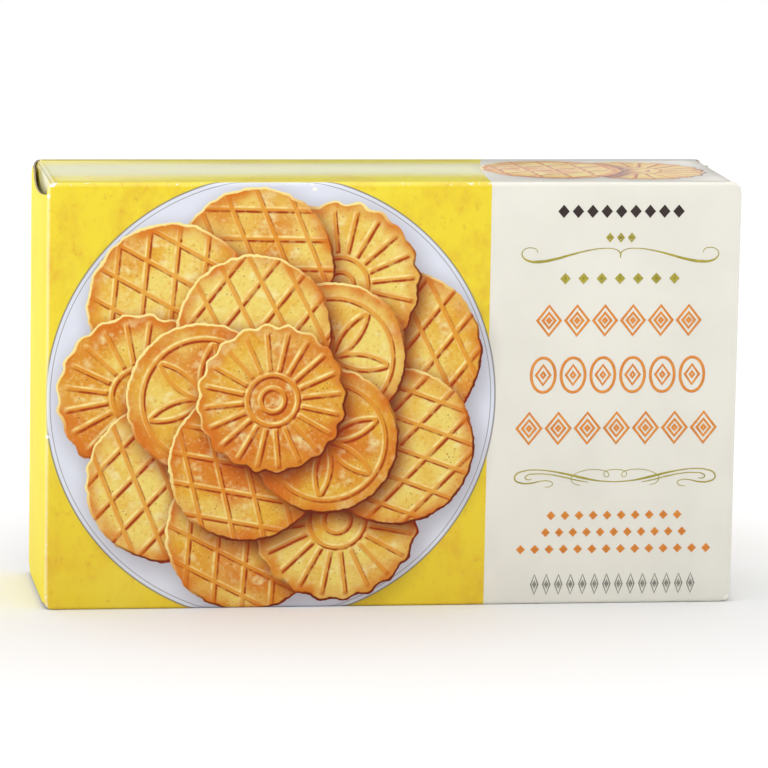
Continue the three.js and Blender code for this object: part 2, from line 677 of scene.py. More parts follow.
@dataclass(frozen=True)
class Blank:
    """The die-cut sheet before it is folded, drawn flat in the front panel's plane."""

    sizes: CartonSizes
    columns: int = 48
    arc_steps: int = 6
    tab_rows: int = 4
    narrow_rows: int = 14
    wide_rows: int = 32
    outer_steps: int = 30

    def strips(self) -> list[Strip]:
        """Divide the sheet into bands.

        Returns:
            The bands, in order of girth.
        """
        s = self.sizes
        outer = OuterFlap(s, s.hinge_crease, s.hinge_fold, s.flap_length, self.outer_steps)
        behind = BackFlap(s, s.back_crease, s.back_fold, s.back_flap)
        dust = DustFlap(s, s.dust_crease, s.dust_fold, s.dust_flap)
        front_cap = CornerCap(s, s.hinge_crease, s.hinge_fold, 0.0)
        back_cap = CornerCap(s, s.back_crease, s.back_fold, 0.0)
        return [
            Strip(Panel.BOTTOM, s.tab_end, s.tab_start, self.tab_rows),
            Strip(Panel.BOTTOM, s.tab_start, s.seam_crease, self.tab_rows),
            Strip(Panel.BOTTOM, s.seam_crease, s.bottom_start, self.narrow_rows, dust),
            Strip(Panel.FRONT, s.bottom_start, s.bottom_crease, self.arc_steps, front_cap),
            Strip(Panel.FRONT, s.bottom_crease, s.top_crease, self.wide_rows, outer),
            Strip(Panel.FRONT, s.top_crease, s.top_start, self.arc_steps, front_cap),
            Strip(Panel.TOP, s.top_start, s.back_crease_girth, self.narrow_rows, dust),
            Strip(Panel.BACK, s.back_crease_girth, s.back_start, self.arc_steps, back_cap),
            Strip(Panel.BACK, s.back_start, s.back_end, self.wide_rows, behind),
        ]

    def outline(self, strip: Strip) -> list[Triple]:
        """A strip's columns from left to right.

        Args:
            strip: the band of the sheet.

        Returns:
            Distance across the carton, low girth and high girth of each column.
        """
        reach = self.sizes.dust_crease
        spacing = (-1 + 2 * step / self.columns for step in range(self.columns + 1))
        middle = [(reach * share, strip.low, strip.high) for share in spacing]
        if strip.flap is None:
            return middle
        right = []
        if strip.flap.crease > reach:
            right.append((strip.flap.crease, strip.low, strip.high))
        for run in strip.flap.runs(self.arc_steps):
            low_cut, high_cut = strip.flap.cuts(run)
            right.append((strip.flap.crease + run, strip.low + low_cut, strip.high - high_cut))
        left = [(-across, low, high) for across, low, high in reversed(right)]
        return left + middle + right

    def build(self, name: str) -> Object:
        """Draw the sheet as a flat mesh with its blank coordinates and each flap's crease.

        Args:
            name: name of the new object.

        Returns:
            The flat sheet, facing -Y.
        """
        sheet = bmesh.new()
        crease = sheet.verts.layers.float.new("flap_crease")
        radius = sheet.verts.layers.float.new("flap_radius")
        panel = sheet.faces.layers.int.new("panel")
        front = -self.sizes.depth / 2
        for strip in self.strips():
            grid = []
            for across, low, high in self.outline(strip):
                column = []
                for row in range(strip.rows + 1):
                    point = sheet.verts.new((across, front, low + (high - low) * row / strip.rows))
                    point[crease] = strip.flap.crease if strip.flap else self.sizes.width
                    point[radius] = strip.flap.radius if strip.flap else self.sizes.long_fold
                    column.append(point)
                grid.append(column)
            for left, right in zip(grid, grid[1:]):
                for row in range(strip.rows):
                    face = sheet.faces.new((left[row], right[row], right[row + 1], left[row + 1]))
                    face[panel] = strip.panel
        bmesh.ops.remove_doubles(sheet, verts=sheet.verts, dist=MERGE)
        mesh = bpy.data.meshes.new(name)
        sheet.to_mesh(mesh)
        sheet.free()
        flat = read(mesh.vertices, "co", 3, np.float32).reshape(-1, 3)[:, (0, 2, 1)].copy()
        flat[:, 2] = 0.0
        blank = mesh.attributes.new("blank", "FLOAT_VECTOR", "POINT")
        blank.data.foreach_set("vector", flat.ravel())
        return put(name, mesh)


# Geometry Nodes that fold the blank


def pillow_group() -> NodeTree:
    """Make the node group for a panel's slight swell: highest in the middle and nothing at the edges.

    Returns:
        The group.
    """
    inputs = numbers("Across", "Along", "Width", "Height", "Rise")
    graph = Graph.group("Panel Pillow", GEOMETRY_TREE, inputs, numbers("Swell"))
    swell = graph.given["Rise"]
    for place, extent in (("Across", "Width"), ("Along", "Height")):
        share = graph.given[place] / graph.given[extent]
        swell = swell * graph.math("MULTIPLY_ADD", share * share, -4.0, 1.0, clamp=True)
    return graph.finish(Swell=swell)


def crease_group() -> NodeTree:
    """Make the node group that bends the sheet past one crease, by the sheet's own distance from it.

    Returns:
        The group.
    """
    inputs = {**GEOMETRY, "Direction": "Vector", **numbers("Run", "Crease", "Radius", "Turn", "Base")}
    graph = Graph.group("Fold Crease", GEOMETRY_TREE, inputs, GEOMETRY)
    given = graph.given
    radius, direction = given["Radius"], given["Direction"]
    position = graph.wire("GeometryNodeInputPosition")
    along = graph.vector("DOT_PRODUCT", position, direction) - given["Crease"]
    rise = position.split()[1] - given["Base"] - radius
    bend = graph.math("MINIMUM", graph.math("MAXIMUM", given["Run"] / radius, 0.0), given["Turn"])
    cosine, sine = graph.math("COSINE", bend), graph.math("SINE", bend)
    beyond = along - bend * radius
    new_along = beyond * cosine - rise * sine
    new_rise = beyond * sine + rise * cosine
    slide = graph.scaled(direction, new_along - along)
    move = graph.vector("ADD", slide, graph.join(0.0, new_rise - rise))
    return graph.finish(Geometry=graph.moved(given["Geometry"], move))


def corner_group() -> NodeTree:
    """Make the node group that rounds corners off, as handling does: most on the front and back faces.

    Returns:
        The group.
    """
    inputs = {**GEOMETRY, **numbers("Width", "Height", "Depth", "Radius", "Reach")}
    graph = Graph.group("Soft Corners", GEOMETRY_TREE, inputs, GEOMETRY)
    given = graph.given
    radius = given["Radius"]
    x, y, z = graph.wire("GeometryNodeInputPosition").split()
    level = z - given["Height"] * 0.5
    # The square zone of each corner is pressed onto a disc.
    shares, squeezes = [], []
    for place, extent in ((x, "Width"), (level, "Height")):
        beyond = abs(place) - (given[extent] * 0.5 - radius)
        share = graph.math("DIVIDE", beyond, radius, clamp=True)
        shares.append(share)
        squeezes.append(1.0 - graph.math("SQRT", 1.0 - share * share * 0.5))
    inside = given["Depth"] * 0.5 - abs(y)
    near = inside.ease(0.0, given["Reach"], 1.0, 0.0) * radius
    move_x, move_z = (
        -(share * squeeze * near * graph.math("SIGN", place))
        for place, share, squeeze in zip((x, level), shares, reversed(squeezes))
    )
    return graph.finish(Geometry=graph.moved(given["Geometry"], graph.join(move_x, 0.0, move_z)))


@dataclass
class FoldingTree:
    """Geometry Nodes tree that turns the flat blank into the folded carton."""

    sizes: CartonSizes
    pillow: NodeTree
    materials: Mapping[Panel, Material]

    GIRTH_FOLDS = (
        ("Seam Crease", "Seam Fold", -1.0),
        ("Back Crease", "Long Fold", 1.0),
        ("Top Crease", "Long Fold", 1.0),
        ("Bottom Crease", "Long Fold", -1.0),
    )

    def __post_init__(self) -> None:
        """Make the groups that the tree runs."""
        self.crease = crease_group()
        self.corners = corner_group()

    def values(self) -> dict[str, float]:
        """Give the tree's named inputs.

        Returns:
            Each input's value for this carton.
        """
        s = self.sizes
        return {
            "Width": s.width,
            "Height": s.height,
            "Depth": s.depth,
            "Front Plane": -s.depth / 2,
            "Long Fold": s.long_fold,
            "Seam Fold": s.seam_fold,
            "Seam Crease": s.seam_crease,
            "Back Crease": s.back_crease_girth,
            "Top Crease": s.top_crease,
            "Bottom Crease": s.bottom_crease,
            "Top Middle": (s.top_start + s.back_crease_girth) / 2,
            "Back Middle": s.back_foot - s.height / 2,
            "Flap Middle": s.flap_middle,
            "Flap Length": s.flap_length,
            "Bulge": s.bulge,
            "Top Bulge": s.top_bulge,
            "Flap Bulge": s.flap_bulge,
            "Corner Radius": s.corner_radius,
            "Corner Reach": s.corner_reach,
            "Board": s.board,
        }

    def build(self) -> NodeTree:
        """Make the tree: swell, fold the flaps and then the girth, soften, thicken and dress.

        Returns:
            The tree.
        """
        inputs = {**GEOMETRY, **numbers(*self.values())}
        graph = Graph.group("Folded Carton", GEOMETRY_TREE, inputs, GEOMETRY)
        size = graph.given
        across, girth, _ = self.named(graph, "blank", "FLOAT_VECTOR").split()
        sheet = self.fold_flaps(self.swell(across, girth), across)
        for crease, fold, way in self.GIRTH_FOLDS:
            start = size[crease] * way
            sheet = self.fold(sheet, girth * way - start, (0.0, 0.0, way), start, size[fold])
        outside = {name: size[name] for name in ("Width", "Height", "Depth")}
        softness = {"Radius": size["Corner Radius"], "Reach": size["Corner Reach"]}
        [sheet] = graph.use(self.corners, {"Geometry": sheet, **outside, **softness})
        return graph.finish(Geometry=self.dress(self.thicken(sheet)))

    @staticmethod
    def named(graph: Graph, name: str, kind: str) -> Wire:
        """Read one of the blank's own attributes."""
        return graph.wire("GeometryNodeInputNamedAttribute", {"Name": name}, data_type=kind)

    def swell(self, across: Wire, girth: Wire) -> Wire:
        """Push the panels and outer flaps out a little, as a filled carton's are.

        Args:
            across: distance across the carton.
            girth: distance along the sheet.

        Returns:
            The swollen sheet.
        """
        graph = across.graph
        size = graph.given
        front_middle = size["Height"] * 0.5
        along_flap = abs(across) - size["Flap Middle"]
        swell: Value = 0.0
        for place, width, middle, height, rise in (
            (across, "Width", front_middle, "Height", "Bulge"),
            (across, "Width", size["Top Middle"], "Depth", "Top Bulge"),
            (across, "Width", size["Back Middle"], "Height", "Bulge"),
            (along_flap, "Flap Length", front_middle, "Height", "Flap Bulge"),
        ):
            extents = {"Width": size[width], "Height": size[height], "Rise": size[rise]}
            [crown] = graph.use(self.pillow, {"Across": place, "Along": girth - middle, **extents})
            swell = crown + swell
        return graph.moved(size["Geometry"], graph.join(0.0, -swell))

    def fold(self, sheet: Wire, run: Wire, direction: Value, start: Wire, radius: Wire) -> Wire:
        """Fold the sheet by a quarter turn along one crease.

        Args:
            sheet: the sheet so far.
            run: each point's distance past the crease along the sheet.
            direction: the way that the sheet runs past the crease.
            start: where the bend starts along that direction.
            radius: the fold's outside radius.

        Returns:
            The sheet with that fold.
        """
        inputs = {
            "Geometry": sheet,
            "Run": run,
            "Direction": direction,
            "Crease": start,
            "Radius": radius,
            "Turn": QUARTER,
            "Base": sheet.graph.given["Front Plane"],
        }
        return sheet.graph.use(self.crease, inputs)[0]

    def fold_flaps(self, sheet: Wire, across: Wire) -> Wire:
        """Fold all the end flaps in, each along its own crease.

        Args:
            sheet: the sheet so far.
            across: distance across the carton.

        Returns:
            The sheet with its flaps folded.
        """
        graph = sheet.graph
        crease = self.named(graph, "flap_crease", "FLOAT")
        radius = self.named(graph, "flap_radius", "FLOAT")
        direction = graph.join(graph.math("SIGN", across), 0.0)
        return self.fold(sheet, abs(across) - crease, direction, crease, radius)

    @staticmethod
    def thicken(sheet: Wire) -> Wire:
        """Give the sheet the board's thickness inwards, and mark the inside and the raw edges as bare.

        Args:
            sheet: the folded sheet.

        Returns:
            The closed board.
        """
        graph = sheet.graph
        inset = {"Mesh": sheet, "Offset Scale": -graph.given["Board"], "Individual": False}
        inner = graph.wire("GeometryNodeExtrudeMesh", inset, mode="FACES")
        turned = graph.wire("GeometryNodeFlipFaces", {"Mesh": inner})
        mark = {"Geometry": turned, "Name": "panel", "Value": int(Panel.BARE)}
        bare = graph.wire("GeometryNodeStoreNamedAttribute", mark, data_type="INT", domain="FACE")
        both = graph.joined(sheet, bare)
        return graph.wire("GeometryNodeMergeByDistance", {"Geometry": both, "Distance": MERGE})

    def dress(self, sheet: Wire) -> Wire:
        """Make the mesh plain and give each panel its finish.

        Args:
            sheet: the closed board.

        Returns:
            The finished mesh.
        """
        graph = sheet.graph
        shown = graph.wire("GeometryNodeRealizeInstances", {"Geometry": sheet})
        panel = self.named(graph, "panel", "INT")
        for number, material in self.materials.items():
            # The compare node's sockets for whole numbers are its third and fourth.
            pair = {2: panel, 3: int(number)}
            chosen = graph.wire("FunctionNodeCompare", pair, data_type="INT", operation="EQUAL")
            inputs = {"Geometry": shown, "Selection": chosen, "Material": material}
            shown = graph.wire("GeometryNodeSetMaterial", inputs)
        return shown


# Layout for baking


@dataclass(frozen=True)
class Chart:
    """Where one part of the sheet lies on the bake map, in pixels, and its pixels for each millimetre.

    Side is 0 for a panel with its folds, and -1 or 1 for its left or right flap.
    """

    panel: Panel
    side: int
    corner: tuple[float, float]
    scale: float
    turned: bool = False


@dataclass(frozen=True)
class FlatFaces:
    """Faces on the flat blank: all their corners in a row, and each face's first corner and corner count."""

    corners: np.ndarray
    starts: np.ndarray
    totals: np.ndarray

    @property
    def areas(self) -> np.ndarray:
        """Areas of the faces.

        Returns:
            Each face's area, which is nothing for a raw edge.
        """
        x, y = self.corners.T
        after = np.arange(1, len(x) + 1)
        after[self.starts + self.totals - 1] = self.starts
        return np.abs(np.add.reduceat(x * y[after] - x[after] * y, self.starts)) / 2

    @property
    def middles(self) -> np.ndarray:
        """Distances of the faces' middles from the middle of the sheet."""
        return np.add.reduceat(self.corners[:, 0], self.starts) / self.totals


@dataclass(frozen=True)
class BakeMap:
    """Flat layout of the folded sheet for baking its finishes, with most of the room for the front panel."""

    blank: Blank
    pixels: float = 1024.0
    rim_corner: tuple[float, float] = (545.0, 6.0)
    rim_cell: float = 4.0
    rim_columns: int = 118

    NAME = "OFBake"
    FLAT = 1e-10
    SQUARE = ((0, 0), (1, 0), (1, 1), (0, 1))
    CHARTS = (
        Chart(Panel.FRONT, 0, (6.0, 394.0), 4.85),
        Chart(Panel.BACK, 0, (6.0, 82.0), 2.38),
        Chart(Panel.TOP, 0, (506.0, 250.0), 2.38),
        Chart(Panel.BOTTOM, 0, (506.0, 82.0), 2.2),
        Chart(Panel.FRONT, -1, (6.0, 6.0), 1.2, turned=True),
        Chart(Panel.FRONT, 1, (162.0, 6.0), 1.2, turned=True),
        Chart(Panel.BACK, -1, (318.0, 6.0), 0.6, turned=True),
        Chart(Panel.BACK, 1, (318.0, 40.0), 0.6, turned=True),
        Chart(Panel.TOP, -1, (400.0, 6.0), 0.6, turned=True),
        Chart(Panel.TOP, 1, (400.0, 40.0), 0.6, turned=True),
        Chart(Panel.BOTTOM, -1, (440.0, 6.0), 0.6, turned=True),
        Chart(Panel.BOTTOM, 1, (440.0, 40.0), 0.6, turned=True),
        Chart(Panel.BARE, 0, (480.0, 6.0), 0.17),
    )

    def lay(self, piece: Object) -> None:
        """Write the layout as the piece's bake map.

        Args:
            piece: the folded carton, with its blank coordinates and panels.
        """
        mesh = piece.data
        points = read(mesh.attributes["blank"].data, "vector", 3, float).reshape(-1, 3)
        panel = read(mesh.attributes["panel"].data, "value")
        starts = read(mesh.polygons, "loop_start")
        totals = read(mesh.polygons, "loop_total")
        flat = points[read(mesh.loops, "vertex_index"), :2]
        faces = np.repeat(np.arange(len(starts)), totals)
        sheet = FlatFaces(flat, starts, totals)
        rim = sheet.areas < self.FLAT
        side = self.sides(sheet.middles, panel)
        places = np.zeros_like(flat)
        for chart in self.CHARTS:
            chosen = ((panel == chart.panel) & (side == chart.side) & ~rim)[faces]
            spots = flat[chosen]
            if chart.turned:
                spots = np.column_stack((spots[:, 1], -spots[:, 0]))
            places[chosen] = chart.corner + (spots - spots.min(axis=0)) * chart.scale / MM
        number = np.cumsum(rim) - 1
        cells = np.column_stack((number % self.rim_columns, number // self.rim_columns)) * self.rim_cell
        around = np.arange(len(faces)) - starts[faces]
        square = np.array(self.SQUARE) * (self.rim_cell - 1)
        at_rim = rim[faces]
        places[at_rim] = self.rim_corner + cells[faces[at_rim]] + square[around[at_rim]]
        layer = mesh.uv_layers.new(name=self.NAME)
        layer.data.foreach_set("uv", (places / self.pixels).ravel())

    def sides(self, middles: np.ndarray, panel: np.ndarray) -> np.ndarray:
        """Which flap each printed face is on, or 0 for a panel.

        Args:
            middles: each face's distance from the middle of the sheet.
            panel: each face's panel.

        Returns:
            -1, 0 or 1 for each face.
        """
        ends = np.full(len(Panel), np.inf)
        for strip in self.blank.strips():
            if strip.flap:
                ends[strip.panel] = strip.flap.crease + strip.flap.bend
        return np.where(np.abs(middles) > ends[panel], np.sign(middles), 0)


# Print on the panels, in millimetres


@dataclass(frozen=True)
class Patches:
    """Uneven patches: a noise's waves for each millimetre, and the fade that makes it an amount."""

    scale: float
    start: float
    end: float
    low: float = 0.0
    high: float = 1.0
    detail: float = 2.0
    roughness: float = 0.5

    def at(self, place: Wire) -> Wire:
        """The amount at a place."""
        noise = place.noise(self.scale, self.detail, self.roughness)
        return noise.ease(self.start, self.end, self.low, self.high)


class Stamp(IntEnum):
    """Pattern pressed into a printed round."""

    LATTICE = 0
    FLUTES = 1
    PETALS = 2


@dataclass(frozen=True)
class Round:
    """One golden round of the print, on its panel."""

    x: float
    y: float
    radius: float
    turn: float
    tone: float
    stamp: Stamp


@dataclass(frozen=True)
class Ring:
    """A ring of alike rounds in a rosette."""

    count: int
    reach: float
    radius: float
    stamps: tuple[Stamp, ...]


@dataclass(frozen=True)
class Rosette:
    """Rings of overlapping rounds about one middle, the outermost ring lowest."""

    x: float
    y: float
    rings: tuple[Ring, ...]
    seed: int
    angle_play: float = 0.05
    reach_play: float = 0.8
    size_play: float = 0.03
    tones: tuple[float, float] = (-0.16, 0.14)

    def rounds(self) -> list[Round]:
        """Place every round, with a little unevenness.

        Returns:
            The rounds, lowest first.
        """
        draw = random.Random(self.seed)
        made = []
        for ring in self.rings:
            for number in range(ring.count):
                turn = math.tau * (number + 0.5) / ring.count
                angle = turn + draw.uniform(-self.angle_play, self.angle_play)
                reach = ring.reach + draw.uniform(-self.reach_play, self.reach_play)
                made.append(
                    Round(
                        self.x + reach * math.cos(angle),
                        self.y + reach * math.sin(angle),
                        ring.radius * draw.uniform(1 - self.size_play, 1 + self.size_play),
                        draw.uniform(0.0, math.pi),
                        draw.uniform(*self.tones),
                        ring.stamps[number % len(ring.stamps)],
                    )
                )
        return made


class RoundPrint:
    """Shader groups that print golden rounds, each laid over the ones before it.

    A round's spot is its middle and turn, and its look is its radius, stamp and tone, each as one vector.
    """

    PITCH = 8.6
    CROSSING = math.radians(57)
    FLUTES = 20
    SPOKE_START = (0.36, 0.42)
    SPOKE_END = (0.95, 0.88)
    HUB_HOOPS = (0.34, 0.16)
    PETALS = 6
    FLOWER = 0.76
    FLOWER_HOOP = 0.8
    RIDGE_FADE = (1.0, 0.4)
    RAGGED_WAVES = 0.24
    RAGGED = 2.0
    SCALLOP = 0.45
    LIGHT = (-0.48, 0.62, 0.0)
    SHADOW = (1.3, -1.8, 0.0)
    SHADOW_FADE = (-3.5, 6.0, 0.12, 1.0)
    OWN_STEP = 5.0

    # A fade goes from where it starts to where it ends, and may say from what amount to what amount.
    # A noise has its waves for each millimetre, its detail and its roughness.
    BLOTCHES = (0.075, 3.0)
    PALE_FADE = (0.36, 0.62)
    BROWNING = (0.05,)
    BROWN_FADE = (0.48, 0.76, 0.0, 0.9)
    GRAIN = (0.9, 2.0, 0.7)
    PALE_GRAIN = (0.54, 0.74, 0.0, 0.45)
    BROWN_GRAIN = (0.46, 0.28, 0.0, 0.4)
    PORES = 0.62
    PORE_FADE = (0.2, 0.1, 0.0, 0.65)
    EDGE_FADE = (5.5, 0.3)
    RIM_FADE = (0.9, 0.5)
    LIT_RIM = (0.0, 0.5)
    DARK_RIM = (0.1, -0.5)
    RIDGE_COVER = 0.75
    DARK_COVER = 1.35
    LIT_COVER = 0.9
    WARM_COVER = 0.75

    MID = Ink(233, 181, 62)
    PALE = Ink(241, 215, 112)
    BROWNED = Ink(216, 116, 30)
    RIDGE = Ink(228, 148, 44)
    RIDGE_LIT = Ink(253, 232, 150)
    RIDGE_DARK = Ink(168, 60, 14)
    GLAZE = Ink(247, 231, 162)
    PORE = Ink(130, 60, 10)
    RIM_DARK = Ink(116, 36, 8)
    HOLLOW = Ink(80, 18, 4)
    WARM_SHADE = Ink(194, 62, 16)

    CRISP = Patches(0.35, 0.3, 0.65, 0.45, 1.15)
    GLAZED = Patches(0.2, 0.52, 0.74, high=0.75, roughness=0.6)
    PORE_FIELDS = Patches(0.3, 0.45, 0.6)
    BROWN_EDGE = Patches(0.12, 0.3, 0.7, 0.35)

    def __init__(self) -> None:
        """Make the groups once, for all panels."""
        self.edge = self._edge()
        self.relief = self._relief()
        self.lay = self._lay()
        self.bake = self._bake()

    def _edge(self) -> NodeTree:
        """Make the group that gives the depth inside a round's uneven edge.

        Returns:
            The group.
        """
        inputs = {"Local": "Vector", **numbers("Ragged", "Radius", "Stamp")}
        graph = Graph.group("Round Edge", SHADER_TREE, inputs, numbers("Depth"))
        given = graph.given
        x, y, _ = given["Local"].split()
        wave = graph.math("COSINE", graph.math("ARCTAN2", y, x) * float(self.FLUTES))
        fluted = graph.math("COMPARE", given["Stamp"], float(Stamp.FLUTES), 0.5)
        edge = given["Ragged"] + given["Radius"] + wave * self.SCALLOP * fluted
        return graph.finish(Depth=edge - graph.vector("LENGTH", given["Local"]))

    def _ridge(self, distance: Wire) -> Wire:
        """Height of a rounded ridge at a distance from its middle line."""
        return abs(distance).ease(*self.RIDGE_FADE)

    def _hoop(self, reach: Wire, radius: Wire, share: float) -> Wire:
        """Height of a round ridge at a share of the round's radius."""
        return self._ridge(reach - radius * share)

    def _relief(self) -> NodeTree:
        """Make the group that gives the height of a round's stamped pattern.

        Returns:
            The group.
        """
        inputs = {"Local": "Vector", **numbers("Radius", "Stamp")}
        graph = Graph.group("Stamped Relief", SHADER_TREE, inputs, numbers("Height"))
        local, radius, stamp = graph.given.values()
        x, y, _ = local.split()
        reach = graph.vector("LENGTH", local)
        angle = graph.math("ARCTAN2", y, x)
        flutes = self._flutes(reach, angle, radius)
        petals = self._petals(reach, angle, radius)
        others = graph.mix(Data.FLOAT, stamp > Stamp.PETALS - 0.5, flutes, petals)
        height = graph.mix(Data.FLOAT, stamp > Stamp.FLUTES - 0.5, self._lattice(local), others)
        return graph.finish(Height=height)

    def _lattice(self, local: Wire) -> Wire:
        """Height of two crossing families of straight ridges.

        Args:
            local: place from the round's middle, turned with the round.

        Returns:
            The height, from 0 to 1.
        """
        graph = local.graph
        heights = []
        for way in (1, -1):
            across = (math.cos(self.CROSSING), way * math.sin(self.CROSSING), 0.0)
            along = graph.vector("DOT_PRODUCT", local, across)
            heights.append(self._ridge(graph.math("PINGPONG", along, self.PITCH / 2)))
        return graph.math("MAXIMUM", *heights)

    def _flutes(self, reach: Wire, angle: Wire, radius: Wire) -> Wire:
        """Height of ridges that run out from a hub.

        Args:
            reach: distance from the round's middle.
            angle: direction from the round's middle.
            radius: the round's radius.

        Returns:
            The height, from 0 to 1.
        """
        graph = reach.graph
        sector = math.tau / self.FLUTES
        away = graph.math("PINGPONG", angle * (1 / sector), 0.5) * (reach * sector)
        share = reach / radius
        spokes = self._ridge(away) * share.ease(*self.SPOKE_START)
        spokes = spokes * share.ease(*self.SPOKE_END)
        hub = graph.math("MAXIMUM", *(self._hoop(reach, radius, hoop) for hoop in self.HUB_HOOPS))
        return graph.math("MAXIMUM", spokes, hub)

    def _petals(self, reach: Wire, angle: Wire, radius: Wire) -> Wire:
        """Height of a flower drawn with compasses, inside a hoop.

        Args:
            reach: distance from the round's middle.
            angle: direction from the round's middle.
            radius: the round's radius.

        Returns:
            The height, from 0 to 1.
        """
        graph = reach.graph
        sector = math.tau / self.PETALS
        folded = graph.math("PINGPONG", angle + math.tau, sector / 2)
        place = graph.join(reach * graph.math("COSINE", folded), reach * graph.math("SINE", folded))
        flower = radius * self.FLOWER
        foot = graph.scaled((math.cos(sector), -math.sin(sector), 0.0), flower)
        arc = self._ridge(graph.vector("DISTANCE", place, foot) - flower)
        hoop = self._hoop(reach, radius, self.FLOWER_HOOP)
        return graph.math("MAXIMUM", arc * (reach < flower), hoop)

    @staticmethod
    def _local(relative: Wire, turn: Wire) -> Wire:
        """A place on a round, turned back with the round."""
        turning = {"Vector": relative, "Angle": -turn}
        return relative.graph.wire("ShaderNodeVectorRotate", turning, rotation_type="Z_AXIS")

    def _inside(self, spot: Wire, look: Wire) -> tuple[Wire, Wire]:
        """Where the group's given place lies on a round.

        Args:
            spot: the round's spot.
            look: the round's look.

        Returns:
            The place from the round's middle, and its depth inside the round's edge.
        """
        graph = spot.graph
        x, y, turn = spot.split()
        radius, stamp, _ = look.split()
        relative = graph.vector("SUBTRACT", graph.given["Place"], graph.join(x, y))
        outline = {"Ragged": graph.given["Ragged"], "Radius": radius, "Stamp": stamp}
        [depth] = graph.use(self.edge, {"Local": self._local(relative, turn), **outline})
        return relative, depth

    def _lay(self) -> NodeTree:
        """Make the group that lays one round over what is there, with its shadow.

        Returns:
            The group.
        """
        below = {"Spot": "Vector", "Look": "Vector", "Shade": "Float"}
        new = {"Place": "Vector", "Ragged": "Float", "New Spot": "Vector", "New Look": "Vector"}
        graph = Graph.group("Lay Round", SHADER_TREE, {**new, **below}, below)
        given = graph.given
        relative, depth = self._inside(given["New Spot"], given["New Look"])
        inside = depth > 0.0
        past = graph.vector("DISTANCE", relative, self.SHADOW) - given["New Look"].split()[0]
        shade = given["Shade"] * past.ease(*self.SHADOW_FADE)
        laid = {
            name: graph.mix(Data.VECTOR, inside, given[name], given[f"New {name}"])
            for name in ("Spot", "Look")
        }
        return graph.finish(Shade=graph.mix(Data.FLOAT, inside, shade, 1.0), **laid)

    def _bake(self) -> NodeTree:
        """Make the group that colours the topmost round at a place.

        Returns:
            The group.
        """
        inputs = {"Place": "Vector", "Ragged": "Float", "Spot": "Vector", "Look": "Vector"}
        graph = Graph.group("Baked Round", SHADER_TREE, inputs, {"Colour": "Color"})
        given = graph.given
        relative, depth = self._inside(given["Spot"], given["Look"])
        middle_x, _, turn = given["Spot"].split()
        radius, stamp, tone = given["Look"].split()
        heights = []
        for point in (relative, graph.vector("ADD", relative, self.LIGHT)):
            local = {"Local": self._local(point, turn), "Radius": radius, "Stamp": stamp}
            heights += graph.use(self.relief, local)
        height, towards_light = heights
        own = graph.vector("ADD", given["Place"], graph.join(0.0, 0.0, middle_x * self.OWN_STEP))
        crisp = self.CRISP.at(own)
        lit = graph.math("SUBTRACT", height, towards_light, clamp=True) * crisp
        dark = graph.math("SUBTRACT", towards_light, height, clamp=True) * crisp
        colour = self._crumb(own, tone, height)
        colour = graph.tint(height * self.RIDGE_COVER, colour, self.RIDGE)
        shaded = graph.math("MULTIPLY", dark, self.DARK_COVER, clamp=True)
        colour = graph.tint(shaded, colour, self.RIDGE_DARK)
        colour = graph.tint(lit * self.LIT_COVER, colour, self.RIDGE_LIT)
        return graph.finish(Colour=self._rim(own, relative, depth, colour))

    def _crumb(self, own: Wire, tone: Wire, height: Wire) -> Wire:
        """Uneven golden colour between the ridges.

        Args:
            own: the place, moved by a different amount for each round.
            tone: how much paler the round is than the others.
            height: height of the stamped pattern.

        Returns:
            The colour.
        """
        graph = own.graph
        blotch = own.noise(*self.BLOTCHES) + tone
        colour = graph.tint(blotch.ease(*self.PALE_FADE), self.MID.linear, self.PALE)
        browned = own.noise(*self.BROWNING) - tone
        colour = graph.tint(browned.ease(*self.BROWN_FADE), colour, self.BROWNED)
        flat = 1.0 - height
        colour = graph.tint(self.GLAZED.at(own) * flat, colour, self.GLAZE)
        grain = own.noise(*self.GRAIN)
        colour = graph.tint(grain.ease(*self.PALE_GRAIN), colour, self.GLAZE)
        colour = graph.tint(grain.ease(*self.BROWN_GRAIN), colour, self.BROWNED)
        pores = graph.wire("ShaderNodeTexVoronoi", {"Vector": own, "Scale": self.PORES}, "Distance")
        pit = pores.ease(*self.PORE_FADE) * self.PORE_FIELDS.at(own)
        return graph.tint(pit * flat, colour, self.PORE)

    def _rim(self, own: Wire, relative: Wire, depth: Wire, colour: Wire) -> Wire:
        """Browned edge with a lit or dark rim.

        Args:
            own: the place, moved by a different amount for each round.
            relative: the place from the round's middle.
            depth: depth inside the edge.
            colour: the round's colour so far.

        Returns:
            The colour with its edge.
        """
        graph = own.graph
        brown = depth.ease(*self.EDGE_FADE) * self.BROWN_EDGE.at(own)
        colour = graph.tint(brown, colour, self.BROWNED)
        facing = graph.vector("DOT_PRODUCT", graph.vector("NORMALIZE", relative), self.LIGHT)
        rim = depth.ease(*self.RIM_FADE)
        colour = graph.tint(rim * facing.ease(*self.LIT_RIM), colour, self.RIDGE_LIT)
        return graph.tint(rim * facing.ease(*self.DARK_RIM), colour, self.RIM_DARK)

